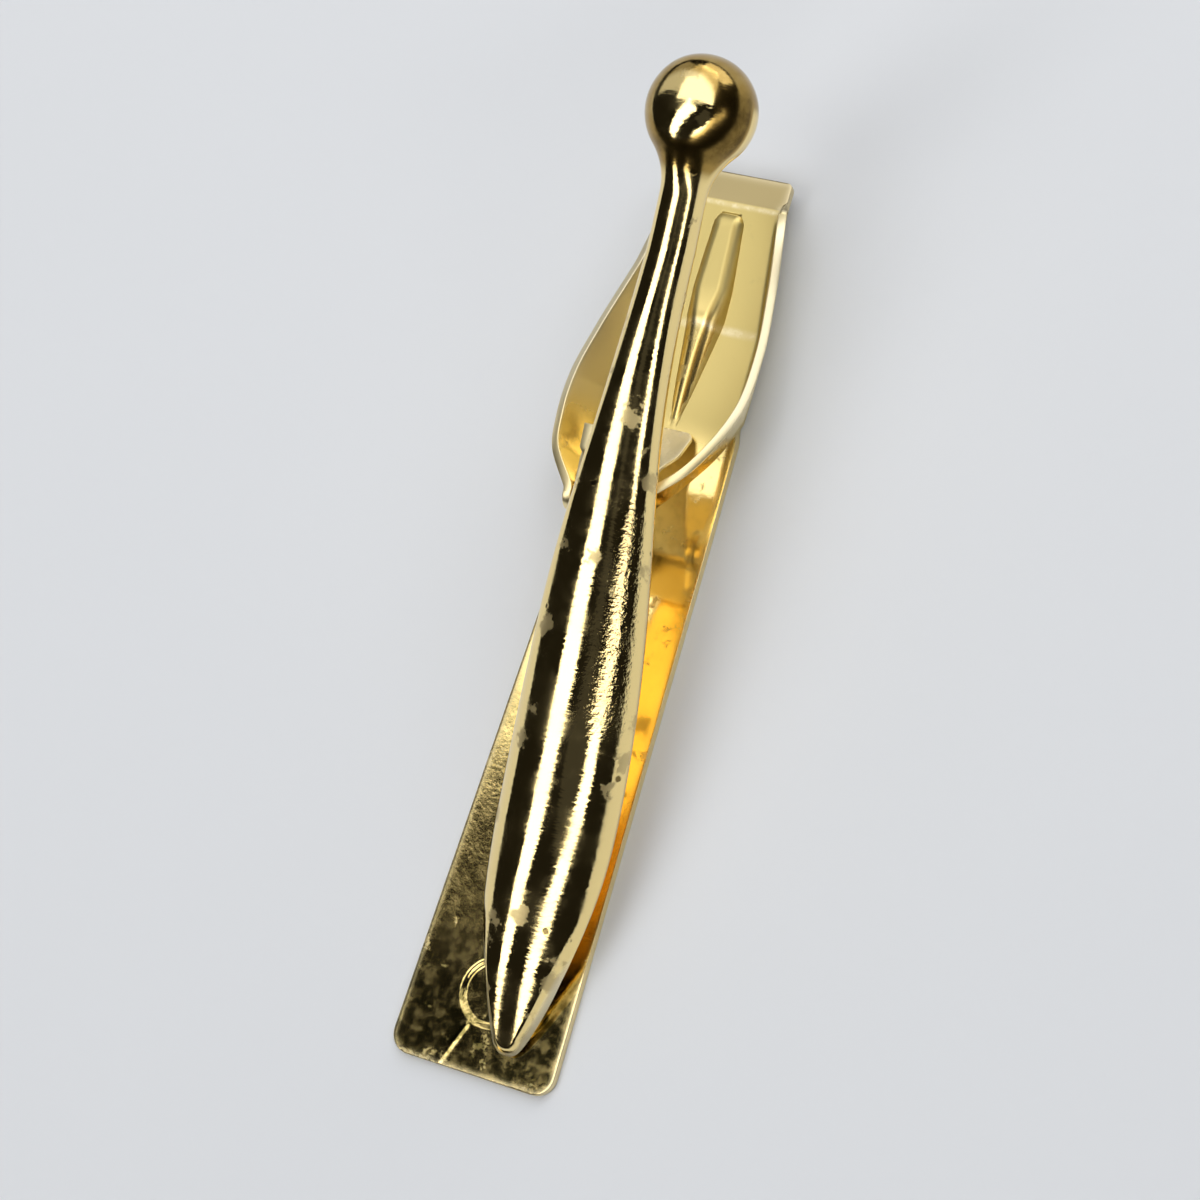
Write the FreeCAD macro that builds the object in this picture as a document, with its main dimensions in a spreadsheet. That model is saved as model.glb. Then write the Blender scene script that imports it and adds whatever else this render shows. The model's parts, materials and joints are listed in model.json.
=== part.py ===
"""Alligator tie clip: a cast club-shaped bar on a sprung lever, in millimetres.

Frame: X across the clip, Y along it towards the ball and the thumb tail, Z up from the lever to the bar.
The origin is on the table, under the middle of the clip's box. The jaws are closed.
"""
import FreeCAD, Part
import math
import os
import Sketcher

# Driving dimensions. Lengths are in millimetres and angles in degrees.
SIZES = {
    # The cast bar, turned about its own axis, crowned at the front and flat at the back
    "club_length": 50.0,
    "club_tip_radius": 1.05,
    "club_widest_place": 11.9,
    "club_widest_radius": 3.15,
    "club_neck_setback": 7.0,
    "club_neck_radius": 1.16,
    "club_ball_fillet": 1.3,
    "club_ball_radius": 2.78,
    "club_back_depth": 1.3,
    "club_tip_reach": 27.9,
    "club_offset": 1.85,
    "crown_height": 2.82,
    "crown_radius": 3.52,
    "crown_tip_radius": 2.3,
    "crown_neck_radius": 1.72,
    "crown_slope_angle": 3.4,
    "crown_shift": 0.26,
    "tip_clearance": 0.06,
    # The stamped lever: jaw strip, wings, lugs and thumb tail
    "sheet_thickness": 0.45,
    "jaw_reach": 28.95,
    "jaw_half_width": 4.68,
    "hinge_half_width": 3.9,
    "jaw_corner_radius": 1.1,
    "crease_reach": 10.6,
    "tail_reach": 18.55,
    "lip_length": 1.55,
    "tail_rise_angle": 9.0,
    "lip_fall_angle": 10.0,
    "crease_half_width": 3.5,
    "tail_half_width": 2.72,
    "wing_half_width": 4.95,
    "wing_tail_reach": 16.4,
    "wing_bend_bulge": 0.06,
    "pin_height": 4.5,
    "lug_radius": 0.95,
    "dimple_radius": 1.7,
    "dimple_depth": 0.15,
    "dimple_setback": 4.15,
    "rib_tail_reach": 16.05,
    "rib_jaw_reach": 5.6,
    "rib_half_width": 0.95,
    "rib_height": 0.75,
    # The hinge: pin, bracket, spring and the solder on the bracket
    "pin_radius": 0.5,
    "pin_head_radius": 0.7,
    "pin_head_height": 0.18,
    "pin_running_clearance": 0.05,
    "pin_seat_clearance": 0.01,
    "hinge_half_length": 2.05,
    "side_clearance": 0.08,
    "bracket_thickness": 0.4,
    "bracket_length": 6.2,
    "bracket_jaw_reach": 2.7,
    "bracket_lug_radius": 1.05,
    "solder_thickness": 0.1,
    "solder_width": 1.0,
    "solder_length": 4.2,
    "spring_thickness": 0.2,
    "spring_width": 2.9,
    "spring_waist_width": 2.0,
    "spring_waist_reach": 2.4,
    "spring_taper_length": 1.2,
    "spring_clearance": 0.06,
    "spring_upper_length": 3.2,
    "spring_lower_length": 6.6,
    "spring_foot_clearance": 0.02,
    # One overrun for every cut that goes right through
    "cut_overrun": 4.0,
}

# Share of the bar's long sweep, from its widest place to its neck, that swells outwards
SWELL_SHARE = 0.51

# Wing stations from tail to lug, as shares: place along the wing's length, how far its lower and upper
# edge stand out from the lug to the wing's half width, and their heights as shares of the pin's height
WING_FOOT_SHARES = (
    (1.00, 0.40, 0.06),
    (0.76, 0.72, 0.31),
    (0.55, 0.94, 0.51),
    (0.37, 1.00, 0.69),
)
WING_HORN_SHARES = (
    (0.23, 0.40, 0.18, 0.84, 0.86),
    (0.11, 0.22, 0.50, 0.56, 1.02),
    (0.00, 0.00, 0.80, 0.04, 1.17),
)
WING_ROOT_SHARE = 0.5

# Rib stations from the jaw side to the tail: place along the rib, half width and height as shares
RIB_SHARES = (
    (0.00, 0.15, 0.05),
    (0.35, 0.75, 0.70),
    (0.53, 1.00, 1.00),
    (0.66, 0.92, 0.75),
    (1.00, 0.58, 0.45),
)
RIB_TOP_SHARE = 0.5
RIB_ROOT_SHARE = 0.55
RIB_HOLLOW_SHARE = 0.5

# Flat end of a pin's head, as a share of the head's radius
PIN_CROWN_SHARE = 0.6


class Size:
    """A number together with the sheet expression that gives it."""

    def __init__(self, value, text):
        self.value = value
        self.text = text

    def __add__(self, other):
        other = as_size(other)
        return Size(self.value + other.value, f"({self.text} + {other.text})")

    def __sub__(self, other):
        other = as_size(other)
        return Size(self.value - other.value, f"({self.text} - {other.text})")

    def __mul__(self, other):
        other = as_size(other)
        return Size(self.value * other.value, f"({self.text} * {other.text})")

    def __truediv__(self, other):
        other = as_size(other)
        return Size(self.value / other.value, f"({self.text} / {other.text})")

    def __neg__(self):
        return Size(-self.value, f"(0 - {self.text})")


def as_size(number):
    return number if isinstance(number, Size) else Size(float(number), repr(float(number)))


def root(size):
    return Size(math.sqrt(size.value), f"sqrt({size.text})")


def sine(angle):
    return Size(math.sin(math.radians(angle.value)), f"sin({angle.text} * 1 deg)")


def cosine(angle):
    return Size(math.cos(math.radians(angle.value)), f"cos({angle.text} * 1 deg)")


def tangent(angle):
    return Size(math.tan(math.radians(angle.value)), f"tan({angle.text} * 1 deg)")


def arc_sine(ratio):
    return Size(math.degrees(math.asin(ratio.value)), f"(asin({ratio.text}) / 1 deg)")


def arc_tangent(ratio):
    return Size(math.degrees(math.atan(ratio.value)), f"(atan({ratio.text}) / 1 deg)")


doc = FreeCAD.newDocument("tie_clip")
sheet = doc.addObject("Spreadsheet::Sheet", "Sizes")
for row, (alias, value) in enumerate(SIZES.items(), start=1):
    sheet.set(f"A{row}", alias)
    sheet.set(f"B{row}", str(value))
    sheet.setAlias(f"B{row}", alias)
doc.recompute()


def size(alias):
    return Size(SIZES[alias], f"Sizes.{alias}")


ZERO = as_size(0)

# Worked-out places, with the pin's axis as the lever's and the bar's own origin
plate = size("sheet_thickness")
pin_z = plate + size("pin_height")
web_under = size("pin_radius") + size("spring_clearance") * 2 + size("spring_thickness")
web_top = web_under + size("bracket_thickness")
club_back = web_top + size("solder_thickness")
club_axis = club_back + size("club_back_depth")
lug_inner = size("hinge_half_length") - plate
bracket_outer = lug_inner - size("side_clearance")
bracket_inner = bracket_outer - size("bracket_thickness")

# The bar's slope closes the jaws: the point where its back first goes flat stands just clear of the strip
flank_rise = size("club_widest_radius") - size("club_tip_radius")
flank_run = size("club_widest_place") - size("club_tip_radius")
flank_sweep = (flank_run * flank_run + flank_rise * flank_rise) / (flank_rise * 2)
flank_sweep = flank_sweep + size("club_tip_radius")
back_drop = size("club_widest_radius") - size("club_back_depth")
back_start = size("club_widest_place") - root(back_drop * (flank_sweep * 2 - back_drop))
toe_reach = size("club_tip_reach") - back_start
toe_distance = root(toe_reach * toe_reach + club_back * club_back)
toe_fall = size("pin_height") - size("tip_clearance")
tilt = arc_tangent(club_back / toe_reach) + arc_sine(toe_fall / toe_distance)

# The neck keeps its distance from the ball when the bar gets longer or shorter
neck_place = size("club_length") - size("club_neck_setback")

# The hinge stands so that the box from jaw end to ball end is centred on the origin
ball_place = size("club_length") - size("club_ball_radius") - size("club_tip_reach")
ball_end = ball_place * cosine(tilt) - club_axis * sine(tilt) + size("club_ball_radius")
hinge_y = (size("jaw_reach") - ball_end) / 2


def bind(thing, path, amount):
    thing.setExpression(path, amount.text)


def new_body(label):
    body = doc.addObject("PartDesign::Body", label)
    body.Label = label
    return body


def place_on_pin(body):
    """Level frame with the pin's axis as its origin."""
    bind(body, "Placement.Base.y", hinge_y)
    bind(body, "Placement.Base.z", pin_z)


def place_on_bar(body):
    """Bar frame: centred on the pin and sloped with the bar."""
    lengthwise = FreeCAD.Rotation(FreeCAD.Vector(1, 0, 0), tilt.value)
    body.Placement = FreeCAD.Placement(FreeCAD.Vector(), lengthwise)
    body.setExpression("Placement.Rotation.Angle", f"{tilt.text} * 1 deg")
    place_on_pin(body)


def new_sketch(body, name, role, offset=None):
    sketch = body.newObject("Sketcher::SketchObject", name)
    origin_plane = next(f for f in body.Origin.OriginFeatures if f.Role == role)
    sketch.AttachmentSupport = [(origin_plane, "")]
    sketch.MapMode = "FlatFace"
    if offset is not None:
        bind(sketch, "AttachmentOffset.Base.z", offset)
    return sketch


def limit(sketch, *terms):
    """Add a constraint whose last term, if it is a Size, is bound to the sheet."""
    if isinstance(terms[-1], Size):
        index = sketch.addConstraint(Sketcher.Constraint(*terms[:-1], terms[-1].value))
        sketch.setExpression(f"Constraints[{index}]", terms[-1].text)
    else:
        sketch.addConstraint(Sketcher.Constraint(*terms))


def pin_point(sketch, geo, position, across, up):
    """Hold one end of a line or arc at a named place in its sketch."""
    if across is ZERO:
        limit(sketch, "PointOnObject", geo, position, -2)
    else:
        limit(sketch, "DistanceX", -1, 1, geo, position, across)
    if up is ZERO:
        limit(sketch, "PointOnObject", geo, position, -1)
    else:
        limit(sketch, "DistanceY", -1, 1, geo, position, up)


def vector(point):
    return FreeCAD.Vector(point[0].value, point[1].value, 0)


def outline(sketch, points):
    """A closed outline of straight lines through named places."""
    first = sketch.GeometryCount
    count = len(points)
    for index, point in enumerate(points):
        end = points[(index + 1) % count]
        sketch.addGeometry(Part.LineSegment(vector(point), vector(end)))
    for index, point in enumerate(points):
        limit(sketch, "Coincident", first + index, 2, first + (index + 1) % count, 1)
        pin_point(sketch, first + index, 1, *point)


def circle(sketch, centre, radius):
    geo = sketch.addGeometry(Part.Circle(vector(centre), FreeCAD.Vector(0, 0, 1), radius.value))
    pin_point(sketch, geo, 3, *centre)
    limit(sketch, "Radius", geo, radius)


def arc(sketch, centre, radius, start, end):
    ring = Part.Circle(vector(centre), FreeCAD.Vector(0, 0, 1), radius.value)
    return sketch.addGeometry(Part.ArcOfCircle(ring, math.radians(start), math.radians(end)))


def pad(body, name, sketch, length, midplane=False):
    feature = body.newObject("PartDesign::Pad", name)
    feature.Profile = sketch
    bind(feature, "Length", length)
    feature.Midplane = midplane
    doc.recompute()
    return feature


def pocket(body, name, sketch, length, midplane=False, reverse=False):
    before = body.Shape.Volume
    feature = body.newObject("PartDesign::Pocket", name)
    feature.Profile = sketch
    bind(feature, "Length", length)
    feature.Midplane = midplane
    feature.Reversed = reverse
    doc.recompute()
    if body.Shape.Volume >= before:
        raise RuntimeError(f"{body.Label}: {name} cut nothing")
    return feature


def loft(body, name, sections, ruled=False, kind="AdditiveLoft"):
    feature = body.newObject(f"PartDesign::{kind}", name)
    feature.Profile = sections[0]
    feature.Sections = sections[1:]
    feature.Ruled = ruled
    doc.recompute()
    return feature


def turn(body, name, sketch, kind="Revolution"):
    """A full turn of a profile about its sketch's first axis."""
    feature = body.newObject(f"PartDesign::{kind}", name)
    feature.Profile = sketch
    feature.ReferenceAxis = (sketch, ["H_Axis"])
    feature.Angle = 360
    doc.recompute()
    return feature


def mirror(body, name, features):
    feature = body.newObject("PartDesign::Mirrored", name)
    feature.Originals = features
    side = next(f for f in body.Origin.OriginFeatures if f.Role == "YZ_Plane")
    feature.MirrorPlane = (side, [""])
    body.Tip = feature
    doc.recompute()
    return feature


def round_upright_edges(body, base, place, radius):
    """Round the corners that stand upright at one place along Y."""
    names = []
    for number, edge in enumerate(base.Shape.Edges, start=1):
        box = edge.BoundBox
        flat = box.XLength + box.YLength
        if flat < box.ZLength and math.isclose(box.YMin, place.value, abs_tol=box.ZLength):
            names.append(f"Edge{number}")
    feature = body.newObject("PartDesign::Fillet", "rounded_corners")
    feature.Base = (base, names)
    bind(feature, "Radius", radius)
    doc.recompute()
    return feature


def bearing(start, end):
    across = end[0].value - start[0].value
    up = end[1].value - start[1].value
    return math.degrees(math.atan2(up, across))


def long_sweeps(drop):
    """Radii of the two tangent arcs that fall by a drop from the widest place to the neck."""
    run = neck_place - size("club_widest_place")
    both = (run * run + drop * drop) / (drop * 2)
    return both * SWELL_SHARE, both * (1 - SWELL_SHARE)


def add_crown(body):
    """A turned cut about an axis behind and beside the bar's own, which leaves the front a flatter dome."""
    sketch = new_sketch(body, "crown_profile", "YZ_Plane")
    slope = size("crown_slope_angle")
    leaning = FreeCAD.Rotation(FreeCAD.Vector(0, 0, 1), slope.value)
    sketch.AttachmentOffset = FreeCAD.Placement(FreeCAD.Vector(), leaning)
    sketch.setExpression("AttachmentOffset.Rotation.Angle", f"{slope.text} * 1 deg")
    top = size("crown_radius")
    bind(sketch, "AttachmentOffset.Base.x", size("club_widest_place"))
    bind(sketch, "AttachmentOffset.Base.y", size("crown_height") - top - size("club_back_depth"))
    bind(sketch, "AttachmentOffset.Base.z", -size("crown_shift"))

    run = size("club_widest_place")
    rise = top - size("crown_tip_radius")
    flank = (run * run + rise * rise) / (rise * 2)
    start = run + size("club_tip_radius")
    first = (-start, top - flank + root(flank * flank - start * start))
    neck = (neck_place - run, size("crown_neck_radius"))
    sweep, neck_sweep = long_sweeps(top - neck[1])
    flank_centre = (ZERO, top - flank)
    body_centre = (ZERO, top - sweep)
    neck_centre = (neck[0], neck[1] + neck_sweep)
    clear = top + size("cut_overrun")
    body_turn = bearing(body_centre, neck_centre)
    flank_arc = arc(sketch, flank_centre, flank, 90, bearing(flank_centre, first))
    body_arc = arc(sketch, body_centre, sweep, body_turn, 90)
    neck_arc = arc(sketch, neck_centre, neck_sweep, body_turn + 180, 270)
    corners = [neck, (neck[0], clear), (first[0], clear), first]
    sides = []
    for here, there in zip(corners, corners[1:]):
        sides.append(sketch.addGeometry(Part.LineSegment(vector(here), vector(there))))

    limit(sketch, "Tangent", flank_arc, 1, body_arc, 2)
    limit(sketch, "Tangent", body_arc, 1, neck_arc, 1)
    limit(sketch, "Coincident", neck_arc, 2, sides[0], 1)
    limit(sketch, "Coincident", sides[0], 2, sides[1], 1)
    limit(sketch, "Coincident", sides[1], 2, sides[2], 1)
    limit(sketch, "Coincident", sides[2], 2, flank_arc, 2)
    limit(sketch, "PointOnObject", flank_arc, 3, -2)
    limit(sketch, "Radius", flank_arc, flank)
    limit(sketch, "Radius", body_arc, sweep)
    pin_point(sketch, flank_arc, 1, ZERO, top)
    limit(sketch, "DistanceX", -1, 1, flank_arc, 2, first[0])
    pin_point(sketch, neck_arc, 2, *neck)
    limit(sketch, "DistanceX", -1, 1, neck_arc, 3, neck[0])
    pin_point(sketch, sides[1], 1, *corners[1])
    pin_point(sketch, sides[1], 2, *corners[2])

    before = body.Shape.Volume
    turn(body, "club_crown", sketch, kind="Groove")
    if body.Shape.Volume >= before:
        raise RuntimeError("the crown cut nothing")


def make_club_bar():
    """Turned profile of tangent arcs: tip, flank, body, neck, fillet and ball, then crown and flat back."""
    body = new_body("club_bar")
    sketch = new_sketch(body, "club_profile", "YZ_Plane")
    tip = size("club_tip_radius")
    widest = (size("club_widest_place"), size("club_widest_radius"))
    neck = (neck_place, size("club_neck_radius"))
    ball = size("club_ball_radius")
    fillet = size("club_ball_fillet")
    length = size("club_length")

    flank_centre = (widest[0], widest[1] - flank_sweep)
    sweep, neck_sweep = long_sweeps(widest[1] - neck[1])
    body_centre = (widest[0], widest[1] - sweep)
    neck_centre = (neck[0], neck[1] + neck_sweep)
    ball_centre = (length - ball, ZERO)
    reach = root((fillet + ball) * (fillet + ball) - (neck[1] + fillet) * (neck[1] + fillet))
    fillet_centre = (ball_centre[0] - reach, neck[1] + fillet)

    tip_turn = bearing(flank_centre, (tip, ZERO))
    body_turn = bearing(body_centre, neck_centre)
    ball_turn = bearing(ball_centre, fillet_centre)
    tip_arc = arc(sketch, (tip, ZERO), tip, tip_turn, 180)
    flank_arc = arc(sketch, flank_centre, flank_sweep, 90, tip_turn)
    body_arc = arc(sketch, body_centre, sweep, body_turn, 90)
    neck_arc = arc(sketch, neck_centre, neck_sweep, body_turn + 180, 270)
    neck_line = sketch.addGeometry(Part.LineSegment(vector(neck), vector((fillet_centre[0], neck[1]))))
    fillet_arc = arc(sketch, fillet_centre, fillet, 270, ball_turn + 180)
    ball_arc = arc(sketch, ball_centre, ball, 0, ball_turn)
    axis_line = sketch.addGeometry(Part.LineSegment(vector((length, ZERO)), vector((ZERO, ZERO))))

    limit(sketch, "Tangent", tip_arc, 1, flank_arc, 2)
    limit(sketch, "Tangent", flank_arc, 1, body_arc, 2)
    limit(sketch, "Tangent", body_arc, 1, neck_arc, 1)
    limit(sketch, "Tangent", neck_arc, 2, neck_line, 1)
    limit(sketch, "Tangent", neck_line, 2, fillet_arc, 1)
    limit(sketch, "Tangent", fillet_arc, 2, ball_arc, 2)
    limit(sketch, "Coincident", ball_arc, 1, axis_line, 1)
    limit(sketch, "Coincident", axis_line, 2, tip_arc, 2)
    limit(sketch, "Coincident", axis_line, 2, -1, 1)
    limit(sketch, "Horizontal", axis_line)
    limit(sketch, "Horizontal", neck_line)
    limit(sketch, "PointOnObject", tip_arc, 3, -1)
    limit(sketch, "PointOnObject", ball_arc, 3, -1)
    limit(sketch, "Radius", tip_arc, tip)
    limit(sketch, "Radius", body_arc, sweep)
    limit(sketch, "Radius", fillet_arc, fillet)
    limit(sketch, "Radius", ball_arc, ball)
    pin_point(sketch, flank_arc, 1, *widest)
    limit(sketch, "DistanceX", -1, 1, flank_arc, 3, widest[0])
    pin_point(sketch, neck_arc, 2, *neck)
    limit(sketch, "DistanceX", -1, 1, axis_line, 1, length)

    turn(body, "club_turned", sketch)
    add_crown(body)

    back = new_sketch(body, "club_back_cut", "XY_Plane", -size("club_back_depth"))
    side = widest[1] + size("cut_overrun")
    over = size("cut_overrun")
    outline(back, [(-side, -over), (side, -over), (side, length + over), (-side, length + over)])
    pocket(body, "club_flat_back", back, widest[1] + over)
    place_on_bar(body)
    tip_reach = size("club_tip_reach")
    bind(body, "Placement.Base.x", size("club_offset"))
    bind(body, "Placement.Base.y", hinge_y - club_axis * sine(tilt) - tip_reach * cosine(tilt))
    bind(body, "Placement.Base.z", pin_z + club_axis * cosine(tilt) - tip_reach * sine(tilt))
    return body


def make_front_bracket():
    """Sheet U on the bar's back: side shape first, then the space between the ears and the pin's holes."""
    body = new_body("front_bracket")
    jaw = size("bracket_jaw_reach")
    tail = size("bracket_length") - jaw
    lug = size("bracket_lug_radius")
    side = new_sketch(body, "bracket_side", "YZ_Plane")
    shoulder = lug * 2
    outline(side, [(-jaw, web_under), (-shoulder, web_under), (-lug, ZERO), (lug, ZERO),
                   (shoulder, web_under), (tail, web_under), (tail, web_top), (-jaw, web_top)])
    pad(body, "bracket_block", side, bracket_outer * 2, midplane=True)
    toe = new_sketch(body, "bracket_lug", "YZ_Plane")
    circle(toe, (ZERO, ZERO), lug)
    pad(body, "bracket_round", toe, bracket_outer * 2, midplane=True)
    gap = new_sketch(body, "bracket_gap", "XZ_Plane")
    over = size("cut_overrun")
    outline(gap, [(-bracket_inner, -lug - over), (bracket_inner, -lug - over),
                  (bracket_inner, web_under), (-bracket_inner, web_under)])
    pocket(body, "bracket_channel", gap, (size("bracket_length") + over) * 2, midplane=True)
    hole = new_sketch(body, "bracket_hole", "YZ_Plane")
    circle(hole, (ZERO, ZERO), size("pin_radius") + size("pin_running_clearance"))
    pocket(body, "bracket_bore", hole, (bracket_outer + over) * 2, midplane=True)
    place_on_bar(body)
    return body


def make_solder_seam():
    """The solder between the bracket's web and the bar's flat back, under the bar's own line."""
    body = new_body("solder_seam")
    sketch = new_sketch(body, "solder_patch", "XY_Plane", web_top)
    outer = bracket_outer
    inner = bracket_outer - size("solder_width")
    jaw = -size("bracket_jaw_reach") + (size("bracket_length") - size("solder_length")) / 2
    tail = jaw + size("solder_length")
    outline(sketch, [(inner, jaw), (outer, jaw), (outer, tail), (inner, tail)])
    pad(body, "solder_layer", sketch, size("solder_thickness"))
    place_on_bar(body)
    return body


def make_hinge_pin():
    """A round pin through both lugs, with a crowned head peened over at each end."""
    body = new_body("hinge_pin")
    sketch = new_sketch(body, "pin_profile", "XY_Plane")
    half = size("hinge_half_length")
    radius = size("pin_radius")
    head = size("pin_head_radius")
    crown = head * PIN_CROWN_SHARE
    end = half + size("pin_head_height")
    outline(sketch, [(-end, ZERO), (end, ZERO), (end, crown), (half, head), (half, radius),
                     (-half, radius), (-half, head), (-end, crown)])
    turn(body, "pin_turned", sketch)
    place_on_pin(body)
    return body


def make_leaf_spring():
    """A strip folded round the pin: one leg lies under the bracket, the broader foot stands on the lever."""
    body = new_body("leaf_spring")
    sketch = new_sketch(body, "spring_side", "YZ_Plane")
    inner = size("pin_radius") + size("spring_clearance")
    outer = inner + size("spring_thickness")
    upper = size("spring_upper_length")
    lower = size("spring_lower_length")
    foot = size("pin_height") - size("spring_foot_clearance")
    lean = arc_sine(foot / root(lower * lower + outer * outer)) - arc_tangent(outer / lower)

    def spot(radius, turn, along, heading):
        across = radius * cosine(turn) + along * cosine(heading)
        up = radius * sine(turn) + along * sine(heading)
        return (across, up)

    top = tilt + 90
    low = -lean - 90
    inner_arc = arc(sketch, (ZERO, ZERO), inner, top.value, low.value + 360)
    outer_arc = arc(sketch, (ZERO, ZERO), outer, top.value, low.value + 360)
    ends = {}
    for name, radius in (("inner", inner), ("outer", outer)):
        ends[name] = (spot(radius, top, ZERO, tilt), spot(radius, top, upper, tilt),
                      spot(radius, low, ZERO, -lean), spot(radius, low, lower, -lean))

    def leg(start, end):
        return sketch.addGeometry(Part.LineSegment(vector(start), vector(end)))

    upper_inner = leg(ends["inner"][0], ends["inner"][1])
    upper_end = leg(ends["inner"][1], ends["outer"][1])
    upper_outer = leg(ends["outer"][1], ends["outer"][0])
    lower_outer = leg(ends["outer"][2], ends["outer"][3])
    lower_end = leg(ends["outer"][3], ends["inner"][3])
    lower_inner = leg(ends["inner"][3], ends["inner"][2])
    limit(sketch, "Coincident", inner_arc, 3, -1, 1)
    limit(sketch, "Coincident", outer_arc, 3, -1, 1)
    limit(sketch, "Radius", inner_arc, inner)
    limit(sketch, "Radius", outer_arc, outer)
    limit(sketch, "Tangent", inner_arc, 1, upper_inner, 1)
    limit(sketch, "Coincident", upper_inner, 2, upper_end, 1)
    limit(sketch, "Coincident", upper_end, 2, upper_outer, 1)
    limit(sketch, "Tangent", upper_outer, 2, outer_arc, 1)
    limit(sketch, "Tangent", outer_arc, 2, lower_outer, 1)
    limit(sketch, "Coincident", lower_outer, 2, lower_end, 1)
    limit(sketch, "Coincident", lower_end, 2, lower_inner, 1)
    limit(sketch, "Tangent", lower_inner, 2, inner_arc, 2)
    pin_point(sketch, upper_inner, 2, *ends["inner"][1])
    pin_point(sketch, lower_outer, 2, *ends["outer"][3])
    limit(sketch, "Perpendicular", upper_inner, upper_end)
    limit(sketch, "Perpendicular", upper_end, upper_outer)
    limit(sketch, "Perpendicular", lower_outer, lower_end)
    limit(sketch, "Perpendicular", lower_end, lower_inner)
    pad(body, "spring_strip", sketch, size("spring_width"), midplane=True)

    waist = size("spring_waist_width") / 2
    broad = size("spring_width") / 2
    start = size("spring_waist_reach")
    end = start + size("spring_taper_length")
    over = size("cut_overrun")
    sides = new_sketch(body, "spring_waist", "XY_Plane")
    for side in (1, -1):
        edge = (broad + over) * side
        outline(sides, [(waist * side, -over), (edge, -over), (edge, end), (broad * side, end),
                        (waist * side, start)])
    pocket(body, "spring_sides", sides, (size("pin_height") + over) * 2, midplane=True)
    place_on_pin(body)
    return body


def tail_lift(place):
    """How far the tail has risen at a place along the lever."""
    past = place - size("crease_reach")
    return past * tangent(size("tail_rise_angle")) if past.value > 0 else ZERO


def plate_half(place):
    """Half width of the lever's plan outline at a place between the hinge and the tail's end."""
    crease = size("crease_reach")
    if place.value < crease.value:
        taper = size("crease_half_width") - size("hinge_half_width")
        return size("hinge_half_width") + taper * place / crease
    past = (place - crease) / (size("tail_reach") - crease)
    return size("crease_half_width") + (size("tail_half_width") - size("crease_half_width")) * past


def add_wing(body):
    """One flared wing, lofted from the tail to the hinge lug through bands of sheet."""
    length = size("wing_tail_reach")
    lug = size("hinge_half_length")
    flare = size("wing_half_width") - lug
    height = size("pin_height")
    edges = []
    for along, edge_share, edge_height in WING_FOOT_SHARES:
        place = length * along
        lift = tail_lift(place)
        low = (plate_half(place) + size("wing_bend_bulge"), lift + plate * WING_ROOT_SHARE)
        edges.append((place, low, (lug + flare * edge_share, lift + plate + height * edge_height)))
    for along, low_share, low_height, edge_share, edge_height in WING_HORN_SHARES:
        low = (lug + flare * low_share, plate + height * low_height)
        edges.append((length * along, low, (lug + flare * edge_share, plate + height * edge_height)))

    sections = []
    for number, (place, low, edge) in enumerate(edges):
        sketch = new_sketch(body, f"wing_{number}", "XZ_Plane", -place)
        run = edge[0] - low[0]
        rise = edge[1] - low[1]
        slant = root(run * run + rise * rise)
        inward = (-plate * rise / slant, plate * run / slant)
        inner_edge = (edge[0] + inward[0], edge[1] + inward[1])
        inner_low = (low[0] + inward[0], low[1] + inward[1])
        outline(sketch, [low, edge, inner_edge, inner_low])
        sections.append(sketch)
    return loft(body, "wing", sections)


def add_lug(body):
    """The round-ended lug that carries one end of the pin."""
    sketch = new_sketch(body, "lug_round", "YZ_Plane", lug_inner)
    circle(sketch, (ZERO, pin_z), size("lug_radius"))
    return pad(body, "lug", sketch, plate)


def rib_sections(body, name, stations, width_share, low, high):
    """Sketches of the pressed rib, or of the hollow under it, from one height over the plate to another."""
    sections = []
    length = size("rib_tail_reach") - size("rib_jaw_reach")
    for number, (along, wide, tall) in enumerate(stations):
        place = size("rib_jaw_reach") + length * along
        ground = tail_lift(place) + plate
        sketch = new_sketch(body, f"{name}_{number}", "XZ_Plane", -place)
        foot = size("rib_half_width") * wide * width_share
        top = foot * RIB_TOP_SHARE
        crest = ground + high + size("rib_height") * tall
        outline(sketch, [(-foot, ground - low), (foot, ground - low), (top, crest), (-top, crest)])
        sections.append(sketch)
    return sections


def add_rib(body):
    """The pressed stiffener that bridges the crease, with the press's hollow on the underside."""
    raised = rib_sections(body, "rib", RIB_SHARES, 1, plate * RIB_ROOT_SHARE, ZERO)
    loft(body, "raised_rib", raised, ruled=True)
    before = body.Shape.Volume
    hollow = rib_sections(body, "hollow", RIB_SHARES[1:], RIB_HOLLOW_SHARE, plate * 2, -plate)
    loft(body, "rib_hollow", hollow, ruled=True, kind="SubtractiveLoft")
    if body.Shape.Volume >= before:
        raise RuntimeError("the rib's hollow cut nothing")


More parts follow.
